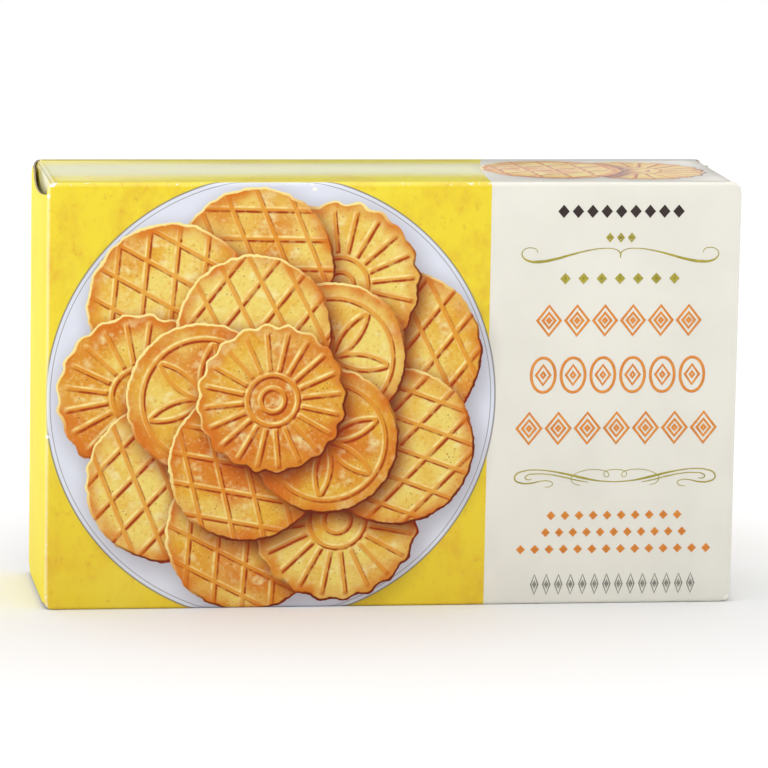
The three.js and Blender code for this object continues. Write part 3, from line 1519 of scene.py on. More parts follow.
    def lay_all(self, place: Wire, rounds: Sequence[Round], ground: Wire, strength: float) -> Wire:
        """Print rounds and their shadows over a ground.

        Args:
            place: the place on the panel.
            rounds: the rounds, lowest first.
            ground: colour of the print below them.
            strength: how dark their shadow is on the ground.

        Returns:
            The colour with the rounds.
        """
        graph = place.graph
        here = {"Place": place, "Ragged": (place.noise(self.RAGGED_WAVES) - 0.5) * self.RAGGED}
        spot: Value = (0.0, 0.0, 0.0)
        look: Value = (0.0, 0.0, 0.0)
        shade: Value = 1.0
        for piece in rounds:
            new = {
                "New Spot": (piece.x, piece.y, piece.turn),
                "New Look": (piece.radius, float(piece.stamp), piece.tone),
            }
            spot, look, shade = graph.use(
                self.lay, {**here, **new, "Spot": spot, "Look": look, "Shade": shade}
            )
        [colour] = graph.use(self.bake, {**here, "Spot": spot, "Look": look})
        dim = 1.0 - shade
        shaded = graph.tint(dim * self.WARM_COVER, colour, self.WARM_SHADE)
        shaded = graph.tint(dim * dim, shaded, self.HOLLOW)
        ground = graph.tint(dim * strength, ground, self.HOLLOW)
        return graph.mix(Data.RGBA, look.split()[0] > 0.0, ground, shaded)


@dataclass(frozen=True)
class Creases:
    """Fold lines of a panel on the flat blank: distances from the middle, and girths.

    A panel that shows no long fold has one far off.
    """

    FAR = 1000.0

    across: tuple[float, ...]
    girth: tuple[float, ...] = (FAR,)

    def distances(self, blank: Wire) -> list[Wire]:
        """Distances of a place on the blank from its nearest fold line across it and along it.

        Args:
            blank: the place on the blank.

        Returns:
            The distance from the nearest end fold, and from the nearest long fold.
        """
        graph = blank.graph
        across, girth, _ = blank.split()
        found = []
        for lines, place in ((self.across, abs(across)), (self.girth, girth)):
            nearest: Value = self.FAR
            for line in lines:
                nearest = graph.math("MINIMUM", nearest, abs(place - line))
            found.append(nearest)
        return found


@dataclass(frozen=True)
class Chip:
    """A spot on the blank where the print has come off."""

    across: float
    girth: float
    radius: float


def new_finish(name: str) -> tuple[Material, Graph, Node]:
    """Start a material.

    Args:
        name: the material's name.

    Returns:
        The material, its graph and its shader.
    """
    material = bpy.data.materials.new(name)
    material.use_nodes = True
    return material, Graph(material.node_tree), material.node_tree.nodes["Principled BSDF"]


@dataclass(frozen=True)
class GlossBoard:
    """Coated side of the board: gloss over the print, paper texture, fibre that shows at worn folds, and a
    pale line along the folds that is partly stretched coating and partly painted highlight.
    """

    coat: float
    specular: float = 0.08
    roughness: float = 0.42
    coat_roughness: float = 0.1
    uneven_gloss: float = 0.12
    flap_wear: float = 0.4
    bump_strength: float = 0.35
    bump_height: float = 0.015 * MM
    fibre: Ink = Ink(250, 248, 238)

    # How the print pales along end folds and long folds: partly stretched coating, partly painted highlight.
    END_STRETCH_HIGHLIGHT = (0.9, 0.2, 0.0, 0.3)
    LONG_STRETCH_HIGHLIGHT = (1.1, 0.1, 0.0, 0.07)
    RUB_FADE = (0.9, 0.35)
    FLECKS = Patches(0.85, 0.57, 0.68, roughness=0.65)
    RUBBED = Patches(0.07, 0.42, 0.6, detail=1.0)
    TEARS = (0.9, 1.0)
    TEAR = 1.6
    TEAR_EDGE = 0.1
    GLOSS = (0.12, 3.0)
    FLAP_FADE = 2.5
    WORN_DULL = 0.4
    GRAIN = (1.4, 1.0, 0.6)
    WARP = (0.045, 0.0)
    WARP_HEIGHT = 12.0

    def wear(self, blank: Wire, paint: "PanelPrint") -> tuple[Wire, Wire]:
        """Rub the print off along the folds and at the chips, and pale it along the folds, partly as
        stretched coating and partly as a painted highlight.

        Args:
            blank: the place on the blank.
            paint: the panel's print.

        Returns:
            The worn print, and how much is worn.
        """
        graph = blank.graph
        end_fold, long_fold = paint.creases().distances(blank)
        # Paler print along each fold: partly stretched coating, partly a painted highlight on the fold's
        # edge.
        stretch_highlights = (end_fold.ease(*self.END_STRETCH_HIGHLIGHT), long_fold.ease(*self.LONG_STRETCH_HIGHLIGHT))
        stretch_and_highlight = graph.math("MAXIMUM", *stretch_highlights)
        rubbed = self.FLECKS.at(blank) * self.RUBBED.at(blank)
        rubbed = rubbed * graph.math("MINIMUM", end_fold, long_fold).ease(*self.RUB_FADE)
        ragged = graph.math("MULTIPLY_ADD", blank.noise(*self.TEARS), self.TEAR, -self.TEAR / 2)
        for chip in paint.chips():
            reach = graph.vector("DISTANCE", blank, (chip.across, chip.girth, 0.0))
            torn = (reach + ragged).ease(chip.radius + self.TEAR_EDGE, chip.radius - self.TEAR_EDGE)
            rubbed = graph.math("MAXIMUM", rubbed, torn)
        # The fibre colour here is real wear, and along the folds also painted highlight.
        amount = graph.math("MAXIMUM", stretch_and_highlight, rubbed)
        return graph.tint(amount, paint.colour(blank), self.fibre), rubbed

    def material(self, name: str, paint: "PanelPrint") -> Material:
        """Make the finish of one panel.

        Args:
            name: the material's name.
            paint: the panel's print.

        Returns:
            The material.
        """
        material, graph, shader = new_finish(name)
        place = graph.wire("ShaderNodeAttribute", output="Vector", attribute_name="blank")
        blank = graph.scaled(place, 1 / MM)
        colour, worn = self.wear(blank, paint)
        graph.feed(shader.inputs["Base Color"], colour)
        smoothest = self.roughness - self.uneven_gloss / 2
        gloss = blank.noise(*self.GLOSS)
        uneven = graph.math("MULTIPLY_ADD", gloss, self.uneven_gloss, smoothest)
        hinge = paint.sizes.hinge_crease / MM
        across = abs(blank.split()[0])
        dulled = uneven + across.ease(hinge, hinge + self.FLAP_FADE, 0.0, self.flap_wear)
        roughness = graph.math("MULTIPLY_ADD", worn, self.WORN_DULL, dulled, clamp=True)
        graph.feed(shader.inputs["Roughness"], roughness)
        shader.inputs["Specular IOR Level"].default_value = self.specular
        shader.inputs["Coat Weight"].default_value = self.coat
        shader.inputs["Coat Roughness"].default_value = self.coat_roughness
        grain = blank.noise(*self.GRAIN)
        height = graph.math("MULTIPLY_ADD", blank.noise(*self.WARP), self.WARP_HEIGHT, grain)
        relief = {"Strength": self.bump_strength, "Distance": self.bump_height, "Height": height}
        graph.feed(shader.inputs["Normal"], graph.wire("ShaderNodeBump", relief))
        return material


@dataclass(frozen=True)
class PanelPrint:
    """Print of one panel, in millimetres with X to the right and Y up as the panel is seen."""

    sizes: CartonSizes
    rounds: RoundPrint

    YELLOW = Ink(243, 219, 58)
    OCHRE = Ink(229, 184, 55)
    LEMON = Ink(246, 230, 78)
    UMBER = Ink(214, 142, 52)
    CREAM = Ink(238, 235, 224)
    CREAM_SHADE = Ink(233, 230, 219)
    DIVIDE = 27.9
    BRUSH = (1.0, 0.7, 1.0)
    CLOUDS = Patches(0.06, 0.42, 0.72, high=0.9, detail=4.0, roughness=0.68)
    PALE = Patches(0.03, 0.48, 0.7, high=0.7)
    SMUDGES = Patches(0.33, 0.57, 0.74, high=0.4, detail=3.0, roughness=0.7)
    PAPER = Patches(0.04, 0.35, 0.7, detail=3.0)

    def creases(self) -> Creases:
        """The panel's fold lines."""
        raise NotImplementedError

    def chips(self) -> Sequence[Chip]:
        """Spots where the panel's print has come off."""
        return ()

    def colour(self, blank: Wire) -> Wire:
        """Colour of the print.

        Args:
            blank: the place on the blank.

        Returns:
            The colour there.
        """
        raise NotImplementedError

    def yellow(self, place: Wire) -> Wire:
        """Yellow field, mottled like brushed paint.

        Args:
            place: the place on the panel.

        Returns:
            The colour there.
        """
        graph = place.graph
        brushed = graph.vector("MULTIPLY", place, self.BRUSH)
        colour = graph.tint(self.CLOUDS.at(brushed), self.YELLOW.linear, self.OCHRE)
        colour = graph.tint(self.PALE.at(place), colour, self.LEMON)
        return graph.tint(self.SMUDGES.at(brushed), colour, self.UMBER)

    def fields(self, place: Wire, yellow: Wire, border: Value) -> Wire:
        """Yellow to the left of a border, and cream with the faint unevenness of paper to its right.

        Args:
            place: the place on the panel.
            yellow: colour of the yellow field.
            border: where the cream field starts.

        Returns:
            The colour there.
        """
        graph = place.graph
        cream = graph.tint(self.PAPER.at(place), self.CREAM.linear, self.CREAM_SHADE)
        return graph.mix(Data.RGBA, place.split()[0] > border, yellow, cream)


@dataclass(frozen=True)
class FacePrint(PanelPrint):
    """Print of a large face: a rosette of golden rounds on a pale dish, on yellow, beside a cream column."""

    DISH = Ink(226, 229, 240)
    DISH_LINE = Ink(120, 116, 110)
    DISH_RADIUS = 66.5
    DISH_LINES = ((0.0, 0.22), (1.3, 0.1))
    LINE_SOFT = (0.12, -0.1)
    LINE_COVER = (0.0, 0.8)
    MIDDLE = (-36.5, 62.5)
    SEED = 11
    RINGS = (
        Ring(9, 40.0, 24.0, (Stamp.LATTICE, Stamp.FLUTES, Stamp.LATTICE)),
        Ring(5, 21.0, 22.5, (Stamp.PETALS, Stamp.LATTICE)),
        Ring(1, 0.0, 22.5, (Stamp.FLUTES,)),
    )
    SHADOW = 0.45
    FOOT_FADE = (70.0, 5.0, 0.0, 0.3)

    def dish(self, place: Wire, ground: Wire) -> Wire:
        """Lay the pale dish, with its two thin lines.

        Args:
            place: the place on the face.
            ground: the fields of colour below it.

        Returns:
            The colour with the dish.
        """
        graph = place.graph
        depth = self.DISH_RADIUS - graph.vector("DISTANCE", place, (*self.MIDDLE, 0.0))
        colour = graph.tint(depth > 0.0, ground, self.DISH)
        for line, width in self.DISH_LINES:
            edges = (width + soft for soft in self.LINE_SOFT)
            drawn = abs(depth - line).ease(*edges, *self.LINE_COVER)
            colour = graph.tint(drawn, colour, self.DISH_LINE)
        return colour

    def face(self, place: Wire) -> Wire:
        """Colour of the fields, the dish and the rounds.

        Args:
            place: the place on the face.

        Returns:
            The colour there.
        """
        foot = place.split()[1].ease(*self.FOOT_FADE)
        yellow = place.graph.tint(foot, self.yellow(place), self.OCHRE)
        ground = self.dish(place, self.fields(place, yellow, self.DIVIDE))
        rounds = Rosette(*self.MIDDLE, self.RINGS, self.SEED).rounds()
        return self.rounds.lay_all(place, rounds, ground, self.SHADOW)


@dataclass(frozen=True)
class FrontPrint(FacePrint):
    """Print of the front panel and of the two outer flaps, which carry its fields of colour on."""

    FLAP = Ink(246, 230, 52)
    FLAP_FADE = 2.0
    FLAP_COVER = 0.75

    @property
    def hinge_line(self) -> float:
        """Distance of the outer flaps' hinges from the middle."""
        return fold_middle(self.sizes.hinge_crease, self.sizes.hinge_fold)

    @property
    def top_line(self) -> float:
        """Girth of the fold to the top panel."""
        return fold_middle(self.sizes.top_crease, self.sizes.long_fold)

    def creases(self) -> Creases:
        """Hinges of the outer flaps, and the front's top fold."""
        return Creases((self.hinge_line,), (self.top_line,))

    def colour(self, blank: Wire) -> Wire:
        """Colour of the face, whose fields run on over the flaps, with a plainer yellow on the left one.

        Args:
            blank: the place on the blank.

        Returns:
            The colour there.
        """
        hinge = -self.sizes.hinge_crease / MM
        plain = blank.split()[0].ease(hinge, hinge - self.FLAP_FADE, 0.0, self.FLAP_COVER)
        return blank.graph.tint(plain, self.face(blank), self.FLAP)

    def chips(self) -> Sequence[Chip]:
        """Spots on the corners and folds where the print has come off.

        Returns:
            The chips.
        """
        hinge, top = self.hinge_line, self.top_line
        bottom = fold_middle(self.sizes.bottom_crease, -self.sizes.long_fold)
        return (
            Chip(1.2 - hinge, top + 0.6, 1.4),
            Chip(hinge - 0.3, bottom + 0.4, 1.5),
            Chip(hinge, top, 0.8),
            Chip(-hinge, bottom, 0.7),
            Chip(-hinge, 51.7, 0.6),
            Chip(-hinge, 122.6, 0.6),
            Chip(-24.6, top - 1.6, 0.6),
        )


@dataclass(frozen=True)
class BackPrint(FacePrint):
    """Print of the back panel, the same way round as the front's when seen from behind."""

    def creases(self) -> Creases:
        """The fold from the top panel, the flaps' creases and the raw edge at the seam.

        Returns:
            The fold lines.
        """
        s = self.sizes
        girths = (fold_middle(s.back_crease_girth, s.long_fold), s.back_end / MM)
        return Creases((fold_middle(s.back_crease, s.back_fold),), girths)

    def colour(self, blank: Wire) -> Wire:
        """Colour of the face, turned to read from behind."""
        foot = (0.0, self.sizes.back_foot / MM, 0.0)
        return self.face(blank.graph.vector("MULTIPLY_ADD", blank, (-1.0, -1.0, 0.0), foot))


@dataclass(frozen=True)
class TopPrint(PanelPrint):
    """Print of the top panel: yellow with a pale band that is a painted reflection, cream past a curved
    border, and two rounds.
    """

    YELLOW = Ink(247, 234, 56)
    OCHRE = Ink(238, 208, 52)
    # Colour and extent of the pale band, which is a painted reflection.
    PAINTED_SHEEN = Ink(220, 226, 208)
    SHEEN_FRONT = (0.16, 0.4, 0.0, 0.6)
    SHEEN_REAR = (0.86, 0.66)
    SWING = 6.5
    ROUNDS = (
        Round(76.0, 28.0, 21.0, 0.4, 0.05, Stamp.FLUTES),
        Round(51.0, 30.0, 21.5, 1.1, 0.0, Stamp.LATTICE),
    )
    SHADOW = 0.35

    def creases(self) -> Creases:
        """The bends of the dust flaps."""
        return Creases((fold_middle(self.sizes.dust_crease, self.sizes.dust_fold),))

    def colour(self, blank: Wire) -> Wire:
        """Colour of the fields, the painted reflection and the rounds.

        Args:
            blank: the place on the blank.

        Returns:
            The colour there.
        """
        graph = blank.graph
        front = (self.sizes.top_start - self.sizes.long_fold) / MM
        place = graph.vector("SUBTRACT", blank, (0.0, front, 0.0))
        share = place.split()[1] / (self.sizes.depth / MM)
        # A pale band across the yellow, between the front and the rear, is a painted reflection.
        band = share.ease(*self.SHEEN_FRONT) * share.ease(*self.SHEEN_REAR)
        yellow = graph.tint(band, self.yellow(place), self.PAINTED_SHEEN)
        border = graph.math("MULTIPLY_ADD", share * share, self.SWING, self.DIVIDE)
        ground = self.fields(place, yellow, border)
        return self.rounds.lay_all(place, self.ROUNDS, ground, self.SHADOW)


@dataclass(frozen=True)
class BottomPrint(PanelPrint):
    """Print of the bottom panel: the fields of colour, and a bare block."""

    LABEL = Ink(232, 233, 218)
    LABEL_MIDDLE = -40.0
    LABEL_SIZE = (84.0, 34.0)

    def creases(self) -> Creases:
        """The bends of the dust flaps and of the glue tab."""
        s = self.sizes
        return Creases((fold_middle(s.dust_crease, s.dust_fold),), (s.seam_crease / MM,))

    def colour(self, blank: Wire) -> Wire:
        """Colour of the fields and the block.

        Args:
            blank: the place on the blank.

        Returns:
            The colour there.
        """
        graph = blank.graph
        ground = self.fields(blank, self.yellow(blank), self.DIVIDE)
        middle = (self.LABEL_MIDDLE, (self.sizes.bottom_start - self.sizes.depth / 2) / MM)
        outside: Value = -Creases.FAR
        for place, centre, extent in zip(blank.split(), middle, self.LABEL_SIZE):
            outside = graph.math("MAXIMUM", outside, abs(place - centre) - extent / 2)
        return graph.tint(outside < 0.0, ground, self.LABEL)


@dataclass(frozen=True)
class BareBoard:
    """Uncoated inside and raw edges of the board, in a grey-brown that is partly the board's own tone and
    partly painted shade, so that the inside seen through the notch looks dark.
    """

    # These inks are darker than the white fibre at the chips, in part as painted shade for the board's
    # inside.
    light: Ink = Ink(176, 160, 134)
    dark: Ink = Ink(136, 118, 92)
    roughness: float = 0.88
    bump_strength: float = 0.4
    bump_height: float = 0.02 * MM

    FIBRE = (0.9, 4.0, 0.7)
    FIBRE_FADE = (0.4, 0.75)

    def material(self, name: str) -> Material:
        """Make the finish: grey-brown fibre with specks, darkened in part as painted shade.

        Args:
            name: the material's name.

        Returns:
            The material.
        """
        material, graph, shader = new_finish(name)
        fibre = graph.object_place().noise(*self.FIBRE)
        colour = graph.tint(fibre.ease(*self.FIBRE_FADE), self.light.linear, self.dark)
        graph.feed(shader.inputs["Base Color"], colour)
        shader.inputs["Roughness"].default_value = self.roughness
        relief = {"Strength": self.bump_strength, "Distance": self.bump_height, "Height": fibre}
        graph.feed(shader.inputs["Normal"], graph.wire("ShaderNodeBump", relief))
        return material


# Ornaments in raised ink, on the cream column


@dataclass(frozen=True)
class InkFinish:
    """A raised ink with a soft gloss."""

    name: str
    ink: Ink
    deep: Ink
    roughness: float = 0.38

    SOLID = Patches(0.35, 0.35, 0.7, detail=3.0, roughness=0.6)

    def material(self) -> Material:
        """Make the finish, with the unevenness of a printed solid.

        Returns:
            The material.
        """
        material, graph, shader = new_finish(self.name)
        uneven = self.SOLID.at(graph.object_place())
        graph.feed(shader.inputs["Base Color"], graph.tint(uneven, self.ink.linear, self.deep))
        shader.inputs["Roughness"].default_value = self.roughness
        return material


@dataclass(frozen=True)
class MotifRow:
    """A row of lozenges or ovals drawn with a double outline, in millimetres."""

    level: float
    width: float
    height: float
    count: int
    sides: int
    stroke: float
    inset: float
    gap: float
    inner_sides: int = 4
    core: float = 0.3

    @property
    def pitch(self) -> float:
        """Distance from one motif to the next."""
        return self.width / (self.count - self.gap)

    def inputs(self) -> dict[str, Value]:
        """Give the row's sizes for the node group.

        Returns:
            Each input's value, with lengths in metres.
        """
        wide = self.pitch * (1 - self.gap)
        steep = self.height / wide
        inner = wide - 2 * self.inset
        core = inner * self.core
        return {
            "Count": self.count,
            "Sides": self.sides,
            "Inner Sides": self.inner_sides,
            "Pitch": self.pitch * MM,
            "Level": self.level * MM,
            "Outer": ((wide - self.stroke) * MM, (self.height - self.stroke) * MM, MM),
            "Inner": (inner * MM, inner * steep * MM, MM),
            "Core": (core * MM, core * steep * MM, MM),
            "Stroke": self.stroke * MM,
        }


@dataclass
class OrnamentTrees:
    """Geometry Nodes groups that draw the ornaments flat and lay them on the front and back panels."""

    sizes: CartonSizes
    pillow: NodeTree
    middle: float = 66.8 * MM
    lift: float = 0.03 * MM
    flatten: float = 0.1

    NIB_SIDES = 6
    CURVE_STEPS = 8

    def __post_init__(self) -> None:
        """Make the groups that all inks share."""
        self.row = self._row()
        self.lay = self._lay()

    def values(self) -> dict[str, float]:
        """Give the trees' named inputs.

        Returns:
            Each input's value for this carton.
        """
        s = self.sizes
        outside = {"Width": s.width, "Height": s.height, "Depth": s.depth, "Bulge": s.bulge}
        return {**outside, "Middle": self.middle, "Lift": self.lift, "Flatten": self.flatten}

    def _start(self, name: str) -> Graph:
        """Start a tree with the shared inputs."""
        return Graph.group(name, GEOMETRY_TREE, {**GEOMETRY, **numbers(*self.values())}, GEOMETRY)

    def _row(self) -> NodeTree:
        """Make the group that draws a row of motifs, each with an outer outline, an inner one and a core.

        Returns:
            The group.
        """
        inputs = {
            **dict.fromkeys(("Count", "Sides", "Inner Sides"), "Int"),
            **dict.fromkeys(("Outer", "Inner", "Core"), "Vector"),
            **numbers("Pitch", "Level", "Stroke"),
        }
        graph = Graph.group("Motif Row", GEOMETRY_TREE, inputs, GEOMETRY)
        size = graph.given
        nib = graph.wire(CIRCLE, {"Resolution": self.NIB_SIDES, "Radius": size["Stroke"] * 0.5})
        outlines = []
        for name, sides in (("Outer", "Sides"), ("Inner", "Inner Sides"), ("Core", "Inner Sides")):
            circle = graph.wire(CIRCLE, {"Resolution": size[sides], "Radius": 0.5})
            outline = graph.wire("GeometryNodeTransform", {"Geometry": circle, "Scale": size[name]})
            outlines.append(graph.wire("GeometryNodeCurveToMesh", {"Curve": outline, "Profile Curve": nib}))
        start = (size["Count"] - 1.0) * size["Pitch"] * -0.5
        line = {
            "Count": size["Count"],
            "Start Location": graph.join(start, size["Level"]),
            "Offset": graph.join(size["Pitch"], 0.0),
        }
        row = {"Points": graph.wire("GeometryNodeMeshLine", line), "Instance": graph.joined(*outlines)}
        return graph.finish(Geometry=graph.wire("GeometryNodeInstanceOnPoints", row))

    def _lay(self) -> NodeTree:
        """Make the group that lays flat ornaments on the swollen front panel, and a turned copy on the back.

        Returns:
            The group.
        """
        graph = self._start("Lay On Panels")
        size = graph.given
        flat = graph.wire("GeometryNodeRealizeInstances", {"Geometry": size["Geometry"]})
        x, y, z = graph.wire("GeometryNodeInputPosition").split()
        across = x + size["Middle"]
        place = {
            "Across": across,
            "Along": y - size["Height"] * 0.5,
            "Width": size["Width"],
            "Height": size["Height"],
            "Rise": size["Bulge"],
        }
        [swell] = graph.use(self.pillow, place)
        front = size["Depth"] * -0.5 - (z * size["Flatten"] + size["Lift"] + swell)
        spot = {"Geometry": flat, "Position": graph.join(across, front, y)}
        laid = graph.wire("GeometryNodeSetPosition", spot)
        sides = graph.wire("GeometryNodeMeshLine", {"Count": 2, "Offset": (0.0, 0.0, 0.0)})
        turn = graph.wire("GeometryNodeInputIndex") * math.pi
        rotation = graph.wire("FunctionNodeEulerToRotation", {0: graph.join(0.0, 0.0, turn)})
        copies = {"Points": sides, "Instance": laid, "Rotation": rotation}
        return graph.finish(Geometry=graph.wire("GeometryNodeInstanceOnPoints", copies))

    def _piece(self, flat: Wire, material: Material, rough: Object) -> Object:
        """Lay flat ornaments on the panels as one plain mesh in one ink.

        Args:
            flat: the flat ornaments.
            material: the ink.
            rough: the object that the tree starts from.

        Returns:
            The finished piece, which takes over the name.
        """
        graph = flat.graph
        sizes = {name: graph.given[name] for name in self.values()}
        [laid] = graph.use(self.lay, {"Geometry": flat, **sizes})
        plain = graph.wire("GeometryNodeRealizeInstances", {"Geometry": laid})
        inked = graph.wire("GeometryNodeSetMaterial", {"Geometry": plain, "Material": material})
        return settle(rough, rough.name, graph.finish(Geometry=inked), self.values())

    def rows(self, name: str, rows: Sequence[MotifRow], material: Material) -> Object:
        """Draw rows of motifs in one ink.

        Args:
            name: the piece's name.
            rows: the rows.
            material: the ink.

        Returns:
            The finished piece.
        """
        graph = self._start(f"{name} tree")
        flat = graph.joined(*(graph.use(self.row, row.inputs())[0] for row in rows))
        return self._piece(flat, material, put(name, bpy.data.meshes.new(name)))

    def strokes(self, name: str, strokes: Sequence[Sequence[Triple]], material: Material) -> Object:
        """Draw tapered strokes and their mirror images in one ink.

        Args:
            name: the piece's name.
            strokes: the strokes of the right half, as points in millimetres, each with a line width.
            material: the ink.

        Returns:
            The finished piece.
        """
        graph = self._start(f"{name} tree")
        line = {
            "Curve": graph.given["Geometry"],
            "Profile Curve": graph.wire(CIRCLE, {"Resolution": self.NIB_SIDES, "Radius": 0.5}),
            "Scale": graph.wire("GeometryNodeInputRadius"),
            "Fill Caps": True,
        }
        right = graph.wire("GeometryNodeCurveToMesh", line)
        left = graph.wire("GeometryNodeTransform", {"Geometry": right, "Scale": (-1.0, 1.0, 1.0)})
        flat = graph.joined(right, graph.wire("GeometryNodeFlipFaces", {"Mesh": left}))
        curve = bpy.data.curves.new(name, "CURVE")
        curve.dimensions = "3D"
        curve.resolution_u = self.CURVE_STEPS
        for stroke in strokes:
            spline = curve.splines.new("BEZIER")
            spline.bezier_points.add(len(stroke) - 1)
            for point, (x, y, thick) in zip(spline.bezier_points, stroke):
                point.co = (x * MM, y * MM, 0.0)
                point.radius = thick * MM
                point.handle_left_type = point.handle_right_type = "AUTO"
        return self._piece(flat, material, put(name, curve))


@dataclass(frozen=True)
class Ornaments:
    """The cream column's ornaments: rows of lozenges and ovals, and two scrolled flourishes.

    A flourish is drawn as strokes from its middle to the right, each a list of places and line widths.
    """

    trees: OrnamentTrees
    brace_level: float = 105.0
    scroll_level: float = 38.0

    LOZENGE = 4
    OVAL = 28

    BRACE = (
        (0.0, -0.8, 0.3), (0.1, 0.6, 0.4), (1.5, 1.65, 0.25), (4.6, 2.0, 0.25), (10.6, 1.2, 0.4),
        (15.1, 0.05, 0.6), (19.7, -1.2, 0.75), (24.3, -1.95, 0.85), (27.5, -1.7, 0.6), (29.3, -0.5, 0.4),
        (29.5, 0.8, 0.3), (28.5, 1.9, 0.25), (26.8, 2.2, 0.25), (25.3, 1.7, 0.25), (24.8, 0.7, 0.2),
    )
    SWEEP = (
        (0.0, -1.1, 0.3), (5.2, -0.7, 0.4), (9.8, 0.2, 0.7), (14.4, 1.3, 0.6), (18.9, 2.2, 0.4),
        (23.5, 2.7, 0.3), (27.6, 2.4, 0.35), (30.0, 1.3, 0.45), (30.3, -0.1, 0.45), (28.4, -1.2, 0.45),
        (25.6, -1.3, 0.45), (22.6, -0.7, 0.3), (20.3, -0.6, 0.25), (18.9, -1.4, 0.25), (19.6, -2.3, 0.25),
        (21.2, -2.5, 0.2),
    )
    INNER_SWEEP = (
        (8.0, -1.2, 0.2), (11.6, -0.5, 0.35), (15.7, 0.5, 0.4), (19.8, 1.3, 0.3), (23.9, 1.5, 0.3),
        (26.6, 1.1, 0.35), (27.2, 0.4, 0.35), (26.4, -0.2, 0.3), (25.2, -0.1, 0.2),
    )
    LOOPS = (
        (0.0, 2.7, 0.22), (2.1, 2.4, 0.22), (3.4, 1.5, 0.22), (3.0, 0.5, 0.22), (2.0, 0.7, 0.22),
        (2.2, 1.7, 0.22), (3.9, 2.4, 0.22), (6.6, 2.7, 0.22), (9.8, 2.3, 0.22), (12.5, 1.1, 0.22),
        (13.3, 0.0, 0.22), (12.5, -1.4, 0.22), (10.5, -2.1, 0.18),
    )

    ORANGE = InkFinish("orange_ink", Ink(234, 148, 52), Ink(222, 132, 44))
    OLIVE = InkFinish("olive_gold_ink", Ink(184, 172, 58), Ink(160, 150, 48), 0.3)
    DARK = InkFinish("dark_ink", Ink(52, 36, 30), Ink(40, 26, 22))
    GREY = InkFinish("grey_ink", Ink(146, 145, 136), Ink(132, 131, 122))

    ORANGE_ROWS = (
        MotifRow(85.5, 50.0, 9.8, 6, LOZENGE, 0.95, 2.1, 0.06),
        MotifRow(69.2, 53.0, 11.2, 6, OVAL, 0.85, 1.9, 0.1),
        MotifRow(53.2, 61.0, 10.2, 7, LOZENGE, 0.95, 2.1, 0.06),
        MotifRow(26.85, 41.0, 2.8, 10, LOZENGE, 0.7, 1.0, 0.36),
        MotifRow(21.75, 44.0, 2.8, 11, LOZENGE, 0.7, 1.0, 0.36),
        MotifRow(16.65, 59.0, 2.8, 14, LOZENGE, 0.7, 1.0, 0.36),
    )
    OLIVE_ROWS = (
        MotifRow(98.0, 36.0, 3.4, 7, LOZENGE, 0.9, 1.2, 0.42),
        MotifRow(110.2, 9.0, 3.0, 3, LOZENGE, 0.7, 1.0, 0.25),
    )
    DARK_ROW = MotifRow(118.0, 38.0, 4.0, 9, LOZENGE, 0.9, 1.1, 0.2)
    GREY_ROW = MotifRow(6.0, 50.0, 6.4, 14, LOZENGE, 0.45, 0.85, 0.28)

    def flourishes(self) -> list[list[Triple]]:
        """Draw the strokes of both flourishes.

        Returns:
            The strokes, each moved up to its level.
        """
        lower = ((stroke, self.scroll_level) for stroke in (self.SWEEP, self.INNER_SWEEP, self.LOOPS))
        levels = ((self.BRACE, self.brace_level), *lower)
        return [[(x, y + level, thick) for x, y, thick in stroke] for stroke, level in levels]

    def build(self) -> Iterator[Object]:
        """Make each ink's pieces.

        Returns:
            The pieces in turn.
        """
        yield self.trees.rows("orange_motif_rows", self.ORANGE_ROWS, self.ORANGE.material())
        olive = self.OLIVE.material()
        yield self.trees.rows("olive_motif_rows", self.OLIVE_ROWS, olive)
        yield self.trees.strokes("olive_flourishes", self.flourishes(), olive)
        yield self.trees.rows("dark_motif_row", (self.DARK_ROW,), self.DARK.material())
        yield self.trees.rows("grey_motif_row", (self.GREY_ROW,), self.GREY.material())


# Stage


@dataclass(frozen=True)
class Lamp:
    """A soft rectangular lamp, with its power in watts and the angle of its beam in degrees."""

    name: str
    place: Triple
    size: tuple[float, float]
    power: float
    towards: Triple
    spread: float = 180.0

    def hang(self) -> None:
        """Put the lamp in the scene, facing what it lights."""
        data = bpy.data.lights.new(self.name, "AREA")
        data.shape = "RECTANGLE"
        data.size, data.size_y = self.size
        data.energy = self.power
        data.spread = math.radians(self.spread)
        aim = (Vector(self.towards) - Vector(self.place)).to_track_quat("-Z", "Y")
        put(self.name, data).matrix_world = Matrix.Translation(self.place) @ aim.to_matrix().to_4x4()


